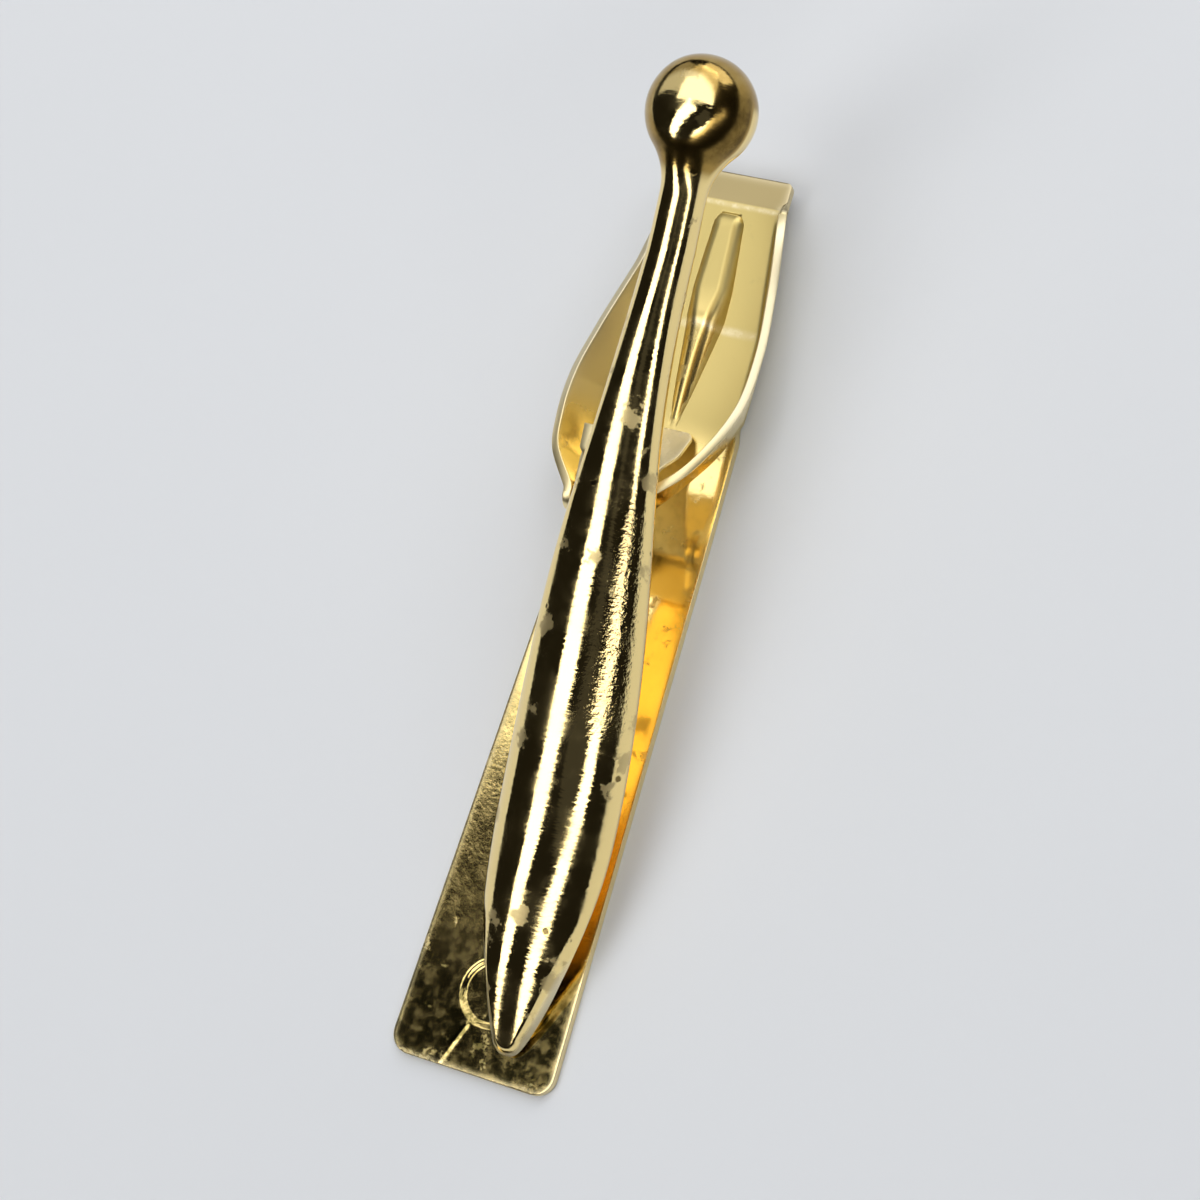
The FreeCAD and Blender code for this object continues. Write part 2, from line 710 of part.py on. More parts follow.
def make_back_lever():
    """One stamping: bent strip, plan outline, wings, lugs, rib, dimple and the pin's holes."""
    body = new_body("back_lever")
    jaw = size("jaw_reach")
    crease = size("crease_reach")
    tail = size("tail_reach")
    lip = tail - size("lip_length")
    lip_z = (lip - crease) * tangent(size("tail_rise_angle"))
    tail_z = lip_z - size("lip_length") * tangent(size("lip_fall_angle"))
    over = size("cut_overrun")

    bent = new_sketch(body, "lever_side", "YZ_Plane")
    outline(bent, [(-jaw, ZERO), (crease, ZERO), (lip, lip_z), (tail, tail_z),
                   (tail, tail_z + plate), (lip, lip_z + plate), (crease, plate), (-jaw, plate)])
    wide = size("jaw_half_width") + over
    pad(body, "lever_strip", bent, wide * 2, midplane=True)

    plan = new_sketch(body, "lever_plan", "XY_Plane")
    ends = (-jaw - over, tail + over)
    side = wide + over
    outline(plan, [(-side, ends[0]), (side, ends[0]), (side, ends[1]), (-side, ends[1])])
    jaw_half = size("jaw_half_width")
    hinge_half = size("hinge_half_width")
    crease_half = size("crease_half_width")
    tail_half = size("tail_half_width")
    outline(plan, [(-jaw_half, -jaw), (jaw_half, -jaw), (hinge_half, ZERO), (crease_half, crease),
                   (tail_half, tail), (-tail_half, tail), (-crease_half, crease), (-hinge_half, ZERO)])
    cut = pocket(body, "lever_outline", plan, wide * 2, midplane=True)
    round_upright_edges(body, cut, -jaw, size("jaw_corner_radius"))

    wing = add_wing(body)
    lug = add_lug(body)
    mirror(body, "second_side", [wing, lug])
    add_rib(body)

    hole = new_sketch(body, "lug_hole", "YZ_Plane")
    circle(hole, (ZERO, pin_z), size("pin_radius") + size("pin_seat_clearance"))
    pocket(body, "lug_bore", hole, (size("wing_half_width") + over) * 2, midplane=True)
    lug_face = size("hinge_half_length")
    for name, face, away in (("right", lug_face, True), ("left", -lug_face, False)):
        seat = new_sketch(body, f"{name}_head_seat", "YZ_Plane", face)
        circle(seat, (ZERO, pin_z), size("pin_head_radius") + size("pin_running_clearance"))
        pocket(body, f"{name}_seat", seat, over, reverse=away)
    dimple = new_sketch(body, "jaw_dimple", "XY_Plane", plate)
    circle(dimple, (ZERO, -jaw + size("dimple_setback")), size("dimple_radius"))
    pocket(body, "dimple", dimple, size("dimple_depth"))
    bind(body, "Placement.Base.y", hinge_y)
    return body


pieces = [make_club_bar(), make_front_bracket(), make_solder_seam(), make_back_lever(), make_hinge_pin(),
          make_leaf_spring()]
doc.recompute()

for thing in doc.Objects:
    if "Invalid" in thing.State or "Error" in thing.State:
        raise RuntimeError(f"{thing.Label} did not build: {thing.State}")
for piece in pieces:
    if piece.Shape.isNull() or not piece.Shape.isValid():
        raise RuntimeError(f"{piece.Label} has no valid shape")
    if len(piece.Shape.Solids) != 1:
        raise RuntimeError(f"{piece.Label} is not one solid")

os.makedirs("parts", exist_ok=True)
for piece in pieces:
    piece.Shape.exportStep(f"parts/{piece.Label}.step")
    print(f"{piece.Label}: {piece.Shape.Volume:.2f} mm3")
print(f"bar slope {tilt.value:.3f} degrees, pin at y {hinge_y.value:.4f}, z {pin_z.value:.4f}")
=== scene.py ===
"""Looks and stage for a gold-plated alligator tie clip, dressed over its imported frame.

Meshes are drawn in millimetres and scaled to metres at the end. Lengths along the lever and the bar are
counted from the hinge pin's axis, towards the thumb tail.
"""
import json
import math

import bmesh
import bpy
import numpy as np
from mathutils import Matrix, Vector, noise


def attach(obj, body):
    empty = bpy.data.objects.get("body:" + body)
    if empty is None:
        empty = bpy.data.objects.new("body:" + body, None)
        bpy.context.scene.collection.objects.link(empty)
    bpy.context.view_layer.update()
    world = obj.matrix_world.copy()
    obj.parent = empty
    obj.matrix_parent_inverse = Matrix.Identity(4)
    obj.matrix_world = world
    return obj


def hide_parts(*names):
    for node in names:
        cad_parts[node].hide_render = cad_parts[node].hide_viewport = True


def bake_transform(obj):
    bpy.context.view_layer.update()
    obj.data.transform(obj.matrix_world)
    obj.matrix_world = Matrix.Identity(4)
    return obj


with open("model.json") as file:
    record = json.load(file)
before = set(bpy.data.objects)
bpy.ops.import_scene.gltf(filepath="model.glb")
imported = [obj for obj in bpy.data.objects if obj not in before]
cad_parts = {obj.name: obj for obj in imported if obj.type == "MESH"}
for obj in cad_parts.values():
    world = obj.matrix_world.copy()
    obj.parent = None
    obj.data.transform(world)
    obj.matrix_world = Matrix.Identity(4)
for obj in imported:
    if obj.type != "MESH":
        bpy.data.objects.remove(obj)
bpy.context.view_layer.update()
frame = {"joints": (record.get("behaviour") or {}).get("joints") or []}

bl_info = {
    "name": "Tie clip",
    "version": (1, 0, 0),
    "blender": (4, 5, 0),
    "location": "3D View > Sidebar > Tie clip",
    "description": "Dresses the tie clip's frame with worn gold plate and sets its stage",
    "category": "Object",
}

MM = 0.001
TINY = 1e-6
HINGE = Vector(frame["joints"][0]["pos_m"]) / MM


def length_value(name, description, millimetres):
    return bpy.props.FloatProperty(name=name, description=description, default=millimetres * MM,
                                   subtype="DISTANCE", unit="LENGTH", precision=5)


def angle_value(name, description, degrees):
    return bpy.props.FloatProperty(name=name, description=description, default=math.radians(degrees),
                                   subtype="ANGLE", unit="ROTATION")


def share_value(name, description, share):
    return bpy.props.FloatProperty(name=name, description=description, default=share, min=0.0, max=1.0,
                                   subtype="FACTOR")


def light_value(name, description, radiance):
    return bpy.props.FloatProperty(name=name, description=description, default=radiance, min=0.0)


def colour_value(name, description, colour):
    return bpy.props.FloatVectorProperty(name=name, description=description, default=colour, size=3,
                                         min=0.0, max=1.0, subtype="COLOR")


class TieClipBar(bpy.types.PropertyGroup):
    length: length_value("Length", "From the blunt tip to the end of the ball", 50.0)
    tip_radius: length_value("Tip radius", "Radius of the blunt tip", 1.05)
    widest_place: length_value("Widest place", "From the tip to the widest place", 11.9)
    widest_radius: length_value("Widest radius", "Half width at the widest place", 3.15)
    swell: share_value("Swell", "Share of the sweep from body to neck that swells outwards", 0.51)
    neck_place: length_value("Neck place", "From the tip to the thinnest place", 43.0)
    neck_radius: length_value("Neck radius", "Half width of the neck", 1.16)
    ball_fillet: length_value("Ball fillet", "Radius between neck and ball, eased by polishing", 3.2)
    ball_radius: length_value("Ball radius", "Radius of the ball", 2.78)
    back_depth: length_value("Back depth", "From the bar's axis down to its flat back", 1.3)
    tip_reach: length_value("Tip reach", "From the hinge pin to the tip", 27.9)
    axis_height: length_value("Axis height", "From the hinge pin up to the bar's axis", 2.62)
    offset: length_value("Offset", "How far the bar stands to the side of the lever's middle", 1.85)
    slope: angle_value("Slope", "Slope of the closed bar over the lever", 12.535)
    bow: length_value("Bow", "Sideways bend of the cast bar", 0.25)
    crown_height: length_value("Crown height", "From the flat back to the top at the widest place", 2.82)
    crown_radius: length_value("Crown radius", "Radius of the domed front at the widest place", 3.52)
    crown_tip_radius: length_value("Crown tip radius", "Radius of the domed front at the tip", 2.3)
    crown_neck_radius: length_value("Crown neck radius", "Radius of the domed front at the neck", 1.72)
    crown_slope: angle_value("Crown slope", "Slope of the dome's axis to the back", 3.4)
    crown_shift: length_value("Crown shift", "How far the dome's axis stands beside the bar's own", 0.26)
    ball_flat: length_value("Ball flattening", "How far polishing has lowered the ball's front", 0.36)
    edge_round: length_value("Edge rounding", "Softness of the edges between front, sides and back", 0.07)
    tip_bevel: length_value("Tip bevel", "Width of the bevelled rim round the tip", 0.62)
    waviness: length_value("Waviness", "Depth of the hand-polished unevenness", 0.016)


class TieClipLever(bpy.types.PropertyGroup):
    sheet: length_value("Sheet", "Thickness of the stamped sheet", 0.45)
    jaw_reach: length_value("Jaw reach", "From the pin to the jaw end", 28.95)
    crease_reach: length_value("Crease reach", "From the pin to the crease of the tail", 10.6)
    tail_reach: length_value("Tail reach", "From the pin to the tail's end", 18.55)
    lip_length: length_value("Lip length", "Length of the bent lip", 1.55)
    tail_rise: angle_value("Tail rise", "Slope of the thumb tail", 9.0)
    lip_fall: angle_value("Lip fall", "Slope of the bent lip", 10.0)
    jaw_corner: length_value("Jaw corner", "Radius of the jaw's corners", 1.1)
    tail_corner: length_value("Tail corner", "Radius of the tail's corners", 0.3)
    wing_start: length_value("Wing start", "From the pin to where the wings leave the plate", 6.07)
    wing_end: length_value("Wing end", "From the pin to where the wings run out", 17.3)
    lug_radius: length_value("Lug radius", "Radius of the hinge lugs", 0.95)
    lug_face: length_value("Lug face", "From the middle to a lug's outer face", 2.05)
    dimple_radius: length_value("Dimple radius", "Radius of the pressed dimple", 1.7)
    dimple_depth: length_value("Dimple depth", "Depth of the pressed dimple", 0.15)
    dimple_setback: length_value("Dimple setback", "From the jaw end to the dimple's middle", 4.15)
    rib_jaw_reach: length_value("Rib start", "From the pin to the start of the rib", 5.6)
    rib_tail_reach: length_value("Rib end", "From the pin to the end of the rib", 16.05)
    rib_half_width: length_value("Rib half width", "Half width of the pressed rib", 0.95)
    rib_height: length_value("Rib height", "Height of the pressed rib", 0.75)
    rim_round: length_value("Rim rounding", "Rounding of the sheet's cut edges", 0.05)


class TieClipHinge(bpy.types.PropertyGroup):
    pin_radius: length_value("Pin radius", "Radius of the hinge pin", 0.5)
    head_radius: length_value("Head radius", "Radius of the peened heads", 0.7)
    head_height: length_value("Head height", "Height of the peened heads", 0.18)
    web_under: length_value("Web height", "From the pin's axis to the bracket's web", 0.82)
    bracket_sheet: length_value("Bracket sheet", "Thickness of the bracket", 0.4)
    bracket_half_width: length_value("Bracket half width", "From the middle to an ear's outer face", 1.52)
    bracket_length: length_value("Bracket length", "Length of the bracket's web", 6.2)
    bracket_jaw_reach: length_value("Bracket reach", "From the pin to the web's jaw end", 2.7)
    bracket_lug: length_value("Bracket lug", "Radius of the ears' round ends", 1.05)
    solder_length: length_value("Solder length", "Length of the solder seam", 4.2)
    solder_width: length_value("Solder width", "Width of the solder seam", 1.0)
    solder_thickness: length_value("Solder thickness", "Thickness of the solder seam", 0.1)
    spring_sheet: length_value("Spring sheet", "Thickness of the leaf spring", 0.2)
    spring_clearance: length_value("Spring clearance", "Room between the pin and the spring", 0.06)
    spring_upper: length_value("Spring upper leg", "Length of the leg under the bracket", 3.2)
    spring_lower: length_value("Spring lower leg", "Length of the leg on the lever", 6.6)
    spring_width: length_value("Spring width", "Width of the spring's foot", 2.9)
    spring_waist: length_value("Spring waist", "Width of the spring between the ears", 2.0)
    foot_clearance: length_value("Foot clearance", "Room under the spring's foot", 0.02)


class TieClipFinish(bpy.types.PropertyGroup):
    bar_gold: colour_value("Bar gold", "Plate on the cast bar", (0.98, 0.77, 0.34))
    sheet_gold: colour_value("Sheet gold", "Plate on the stamped lever", (0.96, 0.74, 0.29))
    satin_gold: colour_value("Satin gold", "Plate on the satin tail", (0.60, 0.49, 0.19))
    # pale gold of rubbed edges; also painted highlights on bends, painted light on wing tops, painted
    # reflection on the tip's rim
    worn_gold: colour_value("Worn gold", "Plate rubbed pale on edges", (0.96, 0.86, 0.60))
    # painted shade: brown laid on the ball's flanks and on the rib's right flank, standing in for dark
    # reflections
    deep_gold: colour_value("Deep gold", "Brown film on the ball and the rib's flank", (0.40, 0.26, 0.07))
    # dark colour of the pits, and painted shade on the ball's near flank
    dark_gold: colour_value("Dark gold", "Dark film on the ball and in pits", (0.12, 0.075, 0.02))
    # dull brown film of the plate, also used as painted shade on the tail's bent-down lip
    tarnish: colour_value("Tarnish", "Dull brown film on the plate", (0.36, 0.29, 0.17))
    # dark olive laid over the strip's jaw end, ramping in towards the end and mottled
    jaw_olive: colour_value("Jaw olive", "Dark stain on the strip's jaw end", (0.14, 0.115, 0.035))
    pin_brass: colour_value("Pin brass", "Bare brass of the pin", (0.90, 0.66, 0.42))
    spring_steel: colour_value("Spring steel", "Gilded spring steel", (0.97, 0.86, 0.58))
    solder: colour_value("Solder", "Tin solder", (0.62, 0.60, 0.57))


class TieClipStage(bpy.types.PropertyGroup):
    floor: colour_value("Floor", "Colour of the pale table", (0.76, 0.78, 0.81))
    surround: colour_value("Surround", "Dim room round the table, as the clip mirrors it",
                           (0.012, 0.011, 0.009))
    backdrop: colour_value("Backdrop", "Pale backdrop beyond the table", (0.72, 0.74, 0.77))
    lamp_height: length_value("Lamp height", "Height of the lamps over the table", 420.0)
    window_light: light_value("Window light", "Brightness of the two window strips", 2.9)
    back_light: light_value("Back light", "Brightness of the broad light over and behind the clip", 1.75)
    card_light: light_value("Card light", "Brightness of the dim card on the left", 0.5)
    dim_light: light_value("Dim light", "Brightness of the dim card between the windows", 0.035)
    lens: bpy.props.FloatProperty(name="Lens", description="Focal length", default=100.53,
                                  subtype="DISTANCE_CAMERA", unit="CAMERA")
    camera_distance: length_value("Camera distance", "From the camera to the hinge", 170.0)
    camera_across: angle_value("Camera across", "Lean of the view to the side", 26.205)
    camera_along: angle_value("Camera along", "Lean of the view along the clip", 7.498)
    camera_roll: angle_value("Camera roll", "Turn of the picture", 17.649)
    shift_across: length_value("Shift across", "Hinge's distance right of the picture's middle", 2.286)
    shift_up: length_value("Shift up", "Hinge's distance above the picture's middle", 3.797)


GROUPS = {
    "tie_clip_bar": TieClipBar,
    "tie_clip_lever": TieClipLever,
    "tie_clip_hinge": TieClipHinge,
    "tie_clip_finish": TieClipFinish,
    "tie_clip_stage": TieClipStage,
}


class Millimetres:
    """Reads a property group's lengths in millimetres, and its shares and angles as they are."""

    def __init__(self, group):
        self.group = group

    def __getattr__(self, name):
        value = getattr(self.group, name)
        is_length = self.group.bl_rna.properties[name].unit == "LENGTH"
        return value / MM if is_length else value


# Curves and small sums

def smooth_step(low, high, value):
    share = np.clip((np.asarray(value, float) - low) / (high - low), 0.0, 1.0)
    return share * share * (3.0 - 2.0 * share)


def soft_ramp(value, width):
    """Zero below nought and the value itself above, with a rounded bend of that width."""
    return width * np.logaddexp(0.0, np.asarray(value, float) / width)


def through(knots, values, places):
    """Smooth curve through the values given at the knots."""
    knots = np.asarray(knots, float)
    values = np.asarray(values, float)
    places = np.asarray(places, float)
    slopes = np.gradient(values, knots)
    found = np.clip(np.searchsorted(knots, places) - 1, 0, len(knots) - 2)
    step = knots[found + 1] - knots[found]
    share = np.clip((places - knots[found]) / step, 0.0, 1.0)
    before = 2 * share ** 3 - 3 * share ** 2 + 1
    leaving = share ** 3 - 2 * share ** 2 + share
    arriving = share ** 3 - share ** 2
    return (before * values[found] + leaving * step * slopes[found]
            + (1 - before) * values[found + 1] + arriving * step * slopes[found + 1])


def half_disc(along, across):
    """Maps a half square to a half disc of radius one, with the square's side on the disc's diameter."""
    return (along * math.sqrt(1 - across * across / 2), across * math.sqrt(1 - along * along / 2))


def unevenness(point, grain):
    """Smooth hand-made unevenness, from about minus one to one."""
    weaker, finer, elsewhere = 0.5, 2.3, Vector((7, 3, 5))
    spot = Vector(point) / grain
    return noise.noise(spot) + weaker * noise.noise(spot * finer + elsewhere)


def sag(sweep, run):
    """How far an arc of that radius falls away from its tangent over a run."""
    return sweep - math.sqrt(sweep ** 2 - run ** 2)


# Mesh making

class Patch:
    """Points and faces of one surface, collected before they become a mesh."""

    def __init__(self):
        self.points = []
        self.faces = []

    def add(self, point):
        self.points.append(tuple(point))
        return len(self.points) - 1

    def strip(self, first, second):
        """Faces between two rows of points. Where both rows share a point, the face is a triangle."""
        for left in range(len(first) - 1):
            corners = [first[left], first[left + 1], second[left + 1], second[left]]
            corners = list(dict.fromkeys(corners))
            if len(corners) > 2:
                self.faces.append(corners)


def new_piece(name, work, placing=None):
    """Turns a bmesh in millimetres into a shaded object in metres."""
    bmesh.ops.recalc_face_normals(work, faces=work.faces)
    if placing is not None:
        bmesh.ops.transform(work, matrix=placing, verts=work.verts)
    bmesh.ops.scale(work, vec=(MM, MM, MM), verts=work.verts)
    mesh = bpy.data.meshes.new(name)
    work.to_mesh(mesh)
    work.free()
    for face in mesh.polygons:
        face.use_smooth = True
    piece = bpy.data.objects.new(name, mesh)
    bpy.context.scene.collection.objects.link(piece)
    return piece


def rim_distance(work, rim_points, tag, reach):
    """Stores how near each point is to the sheet's cut edges, from nought to one."""
    layer = work.verts.layers.float.new(tag)
    rim = np.array(rim_points)
    for vert in work.verts:
        gap = np.sqrt(((rim - np.array(vert.co)) ** 2).sum(axis=1).min())
        vert[layer] = math.exp(-(gap / reach) ** 2)


def thicken(patch, thickness, rim_round, side=1.0, press=None):
    """Closed sheet from one surface: a copy along the normals, walls round the rim, rounded edges."""
    mesh = bpy.data.meshes.new("patch")
    mesh.from_pydata(patch.points, [], patch.faces)
    mesh.update()
    outside = np.array(patch.points)
    normals = np.array([vert.normal for vert in mesh.vertices])
    bpy.data.meshes.remove(mesh)
    inside = outside + normals * thickness * side
    if press is not None:
        inside = press(inside)

    work = bmesh.new()
    outer = [work.verts.new(point) for point in outside]
    inner = [work.verts.new(point) for point in inside]
    uses = {}
    for corners in patch.faces:
        work.faces.new([outer[corner] for corner in reversed(corners)])
        work.faces.new([inner[corner] for corner in corners])
        for start, end in zip(corners, corners[1:] + corners[:1]):
            uses[(start, end)] = True
    rim = [edge for edge in uses if (edge[1], edge[0]) not in uses]
    for start, end in rim:
        work.faces.new([outer[start], outer[end], inner[end], inner[start]])
    bmesh.ops.recalc_face_normals(work, faces=work.faces)
    edges = []
    for start, end in rim:
        edges.append(work.edges.get((outer[start], outer[end])))
        edges.append(work.edges.get((inner[start], inner[end])))
    bmesh.ops.bevel(work, geom=edges, offset=rim_round, offset_type="OFFSET", segments=3, profile=0.5,
                    affect="EDGES", clamp_overlap=False)
    rim_points = [(outside[start] + inside[start]) / 2 for start, _ in rim]
    return work, rim_points


def join_rings(work, rings):
    """Faces between neighbouring closed rings, where a ring of one point is a pole."""
    for first, second in zip(rings, rings[1:]):
        count = max(len(first), len(second))
        for step in range(count):
            following = (step + 1) % count
            corners = (first[step % len(first)], second[step % len(second)],
                       second[following % len(second)], first[following % len(first)])
            work.faces.new(list(dict.fromkeys(corners)))


def turned(profile, count):
    """Closed skin round the Y axis. The profile lists (place, radius) and ends on the axis."""
    work = bmesh.new()
    rings = []
    for place, radius in profile:
        turns = np.linspace(0, 2 * math.pi, count if radius > 0 else 1, endpoint=False)
        rings.append([work.verts.new((radius * math.cos(turn), place, radius * math.sin(turn)))
                      for turn in turns])
    join_rings(work, rings)
    return work


# The cast bar

def long_sweeps(bar, drop):
    """Radii of the two tangent arcs that fall by a drop from the widest place to the neck."""
    run = bar.neck_place - bar.widest_place
    both = (run ** 2 + drop ** 2) / (2 * drop)
    return both * bar.swell, both * (1 - bar.swell)


def crown_at(bar, place):
    """Height of the dome's axis over the bar's own axis, and the dome's radius, at a place along the bar."""
    along = place - bar.widest_place
    axis = bar.crown_height - bar.crown_radius - bar.back_depth + along * math.tan(bar.crown_slope)
    run = bar.neck_place - bar.widest_place
    rise = bar.crown_radius - bar.crown_tip_radius
    flank = (bar.widest_place ** 2 + rise ** 2) / (2 * rise)
    body_sweep, neck_sweep = long_sweeps(bar, bar.crown_radius - bar.crown_neck_radius)
    if along < 0:
        return axis, bar.crown_radius - sag(flank, along)
    if along < run * bar.swell:
        return axis, bar.crown_radius - sag(body_sweep, along)
    if along < run:
        return axis, bar.crown_neck_radius + sag(neck_sweep, run - along)
    return 0.0, bar.length


def bar_profile(bar, count):
    """Places and radii of the bar's turned outline, spaced evenly along the outline itself."""
    fine_count = 4001
    flank_rise = bar.widest_radius - bar.tip_radius
    flank_run = bar.widest_place - bar.tip_radius
    flank_sweep = (flank_run ** 2 + flank_rise ** 2) / (2 * flank_rise) + bar.tip_radius
    run = bar.neck_place - bar.widest_place
    body_sweep, neck_sweep = long_sweeps(bar, bar.widest_radius - bar.neck_radius)
    ball_place = bar.length - bar.ball_radius
    reach = math.sqrt((bar.ball_fillet + bar.ball_radius) ** 2 - (bar.neck_radius + bar.ball_fillet) ** 2)
    fillet_place = ball_place - reach
    flank_turn = math.atan2(flank_sweep - bar.widest_radius, bar.tip_radius - bar.widest_place)
    tip_end = bar.tip_radius + bar.tip_radius * math.cos(flank_turn)
    swap = bar.widest_place + run * bar.swell
    ball_start = ball_place - reach * bar.ball_radius / (bar.ball_fillet + bar.ball_radius)

    def radius_at(place):
        if place < tip_end:
            return math.sqrt(max(0.0, bar.tip_radius ** 2 - (place - bar.tip_radius) ** 2))
        if place < bar.widest_place:
            return bar.widest_radius - sag(flank_sweep, place - bar.widest_place)
        if place < swap:
            return bar.widest_radius - sag(body_sweep, place - bar.widest_place)
        if place < bar.neck_place:
            return bar.neck_radius + sag(neck_sweep, place - bar.neck_place)
        if place < fillet_place:
            return bar.neck_radius
        if place < ball_start:
            return bar.neck_radius + sag(bar.ball_fillet, place - fillet_place)
        return math.sqrt(max(0.0, bar.ball_radius ** 2 - (place - ball_place) ** 2))

    fine = bar.length * (1 - np.cos(np.linspace(0, math.pi, fine_count))) / 2
    radii = np.array([radius_at(place) for place in fine])
    walked = np.concatenate([[0.0], np.cumsum(np.hypot(np.diff(fine), np.diff(radii)))])
    places = np.interp(np.linspace(0, walked[-1], count), walked, fine)
    profile = [(place, radius_at(place)) for place in places]
    profile[0] = (0.0, 0.0)
    profile[-1] = (bar.length, 0.0)
    return profile


def bar_placing(bar):
    """From the bar's own frame, tip at the origin and length along Y, to the clip's frame."""
    lean = Matrix.Rotation(bar.slope, 4, "X")
    start = lean @ Vector((0.0, -bar.tip_reach, bar.axis_height))
    return Matrix.Translation(HINGE + Vector((bar.offset, 0.0, 0.0)) + start) @ lean


LEAST_RING = 0.02


def bar_ring(bar, place, radius, count):
    """Points of one cross section: the outline's round, the dome and the flat back, with softened edges."""
    nearly_level, soft_share = 0.01, 0.15
    dome_axis, dome_radius = crown_at(bar, place)
    top = min(radius, dome_axis + dome_radius)
    bottom = max(-radius, -bar.back_depth)
    if top - bottom < LEAST_RING:
        return None
    middle = (top + bottom) / 2
    turn = np.linspace(0, 2 * math.pi, count, endpoint=False)
    level, rise = np.cos(turn), np.sin(turn)
    dome_side = bar.crown_shift * level + (middle - dome_axis) * rise
    dome_gap = bar.crown_shift ** 2 + (middle - dome_axis) ** 2
    fall = np.maximum(-rise, nearly_level)
    flat = np.where(-rise > nearly_level, (bar.back_depth + middle) / fall, bar.length)
    walls = np.array([np.sqrt(radius ** 2 - (middle * level) ** 2) - middle * rise,
                      np.sqrt(dome_radius ** 2 - dome_gap + dome_side ** 2) - dome_side, flat])
    soft = min(bar.edge_round, soft_share * (top - bottom))
    nearest = walls.min(axis=0)
    reach = nearest - soft * np.log(np.exp((nearest - walls) / soft).sum(axis=0))
    heights = middle + rise * reach
    if place > bar.neck_place:
        swollen = float(smooth_step(bar.neck_radius, bar.ball_radius, radius))
        eased = bar.ball_flat / bar.ball_radius * swollen
        heights = np.where(heights > 0, heights * (1 - eased), heights)
    return np.column_stack([level * reach, np.full(count, place), heights])


def ball_film(bar, across, along, up):
    """Painted shade on the ball, for its dark reflections: thin on the far side, thick on the near flanks.
    """
    if along < bar.neck_place:
        return 0.0
    far_side, near_side = Vector((-0.6, 0.8, 0.0)), Vector((0.75, -0.65, 0.0))
    thin = 0.5
    spot = Vector((across, along - bar.length + bar.ball_radius, up)).normalized()
    far = float(smooth_step(-0.50, 0.10, spot.dot(far_side)))
    rim = float(smooth_step(0.35, 0.75, spot.dot(near_side)) * smooth_step(0.14, -0.02, spot.z))
    flank = float(smooth_step(0.84, 0.70, spot.z))
    past_neck = float(smooth_step(bar.neck_place + 0.5, bar.neck_place + 2.5, along))
    return flank * past_neck * (thin * far + (1 - far) * (1 - rim))


def tip_rim(bar, across, place, half):
    """How far a point lies on the bevelled rim round the tip, from nought inside to one at the outline."""
    fade_start, fade_end = 3.0, 8.0
    inset = half - abs(across)
    if place < bar.tip_radius:
        inset = bar.tip_radius - math.hypot(across, place - bar.tip_radius)
    return float(smooth_step(bar.tip_bevel, 0.0, inset) * (1 - smooth_step(fade_start, fade_end, place)))


def make_bar(bar):
    """The club: turned outline, domed front, flat back, a slight bow and an uneven polish."""
    bow_start, bow_length = 4.5, 36.0
    wave_grain, wave_stretch = 2.6, 0.7
    rim_fall = 0.75
    rim_floor = -0.75 * bar.back_depth
    ring_count, count = 300, 168
    work = bmesh.new()
    # painted shade on the ball's flanks, stored per point and coloured by the bar's material
    overlay = work.verts.layers.float.new("ball_film")
    # on the bar this marks the tip's bevelled rim, which the material paints pale as a painted reflection of
    # the table
    wear_and_sheen = work.verts.layers.float.new("edge_wear")
    rings = []
    for place, radius in bar_profile(bar, ring_count):
        ring = bar_ring(bar, place, radius, count)
        if ring is None:
            continue
        bend = np.clip((place - bow_start) / bow_length, 0.0, 1.0)
        aside = bar.bow * math.sin(2 * math.pi * bend)
        half = np.abs(ring[:, 0]).max()
        points = []
        for across, along, up in ring:
            wave = 0.0
            if up > 0:
                wave = bar.waviness * unevenness((across, along * wave_stretch, up), wave_grain)
            rim = tip_rim(bar, across, place, half)
            up -= rim_fall * rim * max(0.0, up - rim_floor)
            vert = work.verts.new((across + aside, along, up + wave * min(1.0, radius)))
            vert[overlay] = ball_film(bar, across, along, up)
            vert[wear_and_sheen] = rim
            points.append(vert)
        rings.append(points)
    tip, end = [sum((vert.co for vert in ring), Vector()) / count for ring in (rings[0], rings[-1])]
    join_rings(work, [[work.verts.new(tip)], *rings, [work.verts.new(end)]])
    piece = new_piece("club", work, bar_placing(bar))
    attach(piece, "front")
    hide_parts("club_bar")
    return piece


# The stamped lever

PLATE_PLACES = (-28.95, 0.0, 10.6, 18.55)
PLATE_HALVES = (4.68, 3.9, 3.5, 2.72)
WING_PLACES = (0.0, 1.80, 3.77, 6.07, 9.02, 12.46, 16.4, 17.3)
WING_EDGE_ACROSS = (2.08, 3.674, 4.486, 4.95, 4.776, 4.138, 3.21, 2.80)
WING_EDGE_UP = (5.90, 5.25, 4.42, 3.555, 2.745, 2.14, 1.639, 1.08)
HORN_PLACES = (0.0, 1.80, 3.77, 6.07)
HORN_LOW_ACROSS = (2.05, 2.688, 3.21, 3.64)
HORN_LOW_UP = (4.00, 2.70, 1.26, 0.12)
RIB_PLACES = (0.0, 0.35, 0.53, 0.66, 1.0)
RIB_WIDTHS = (0.15, 0.75, 1.0, 0.92, 0.58)
RIB_HEIGHTS = (0.05, 0.70, 1.0, 0.75, 0.45)
RIB_TOPS = (0.15, 0.15, 0.3, 0.6, 0.7)
SCRATCH_START = np.array([-0.82, -26.62])
SCRATCH_END = np.array([-1.75, -28.91])
FOLD = 0.5
FOLD_INSET = 0.045
FOLD_SHARE = 0.45
FOLD_STEPS = 6
WING_STEPS = 12


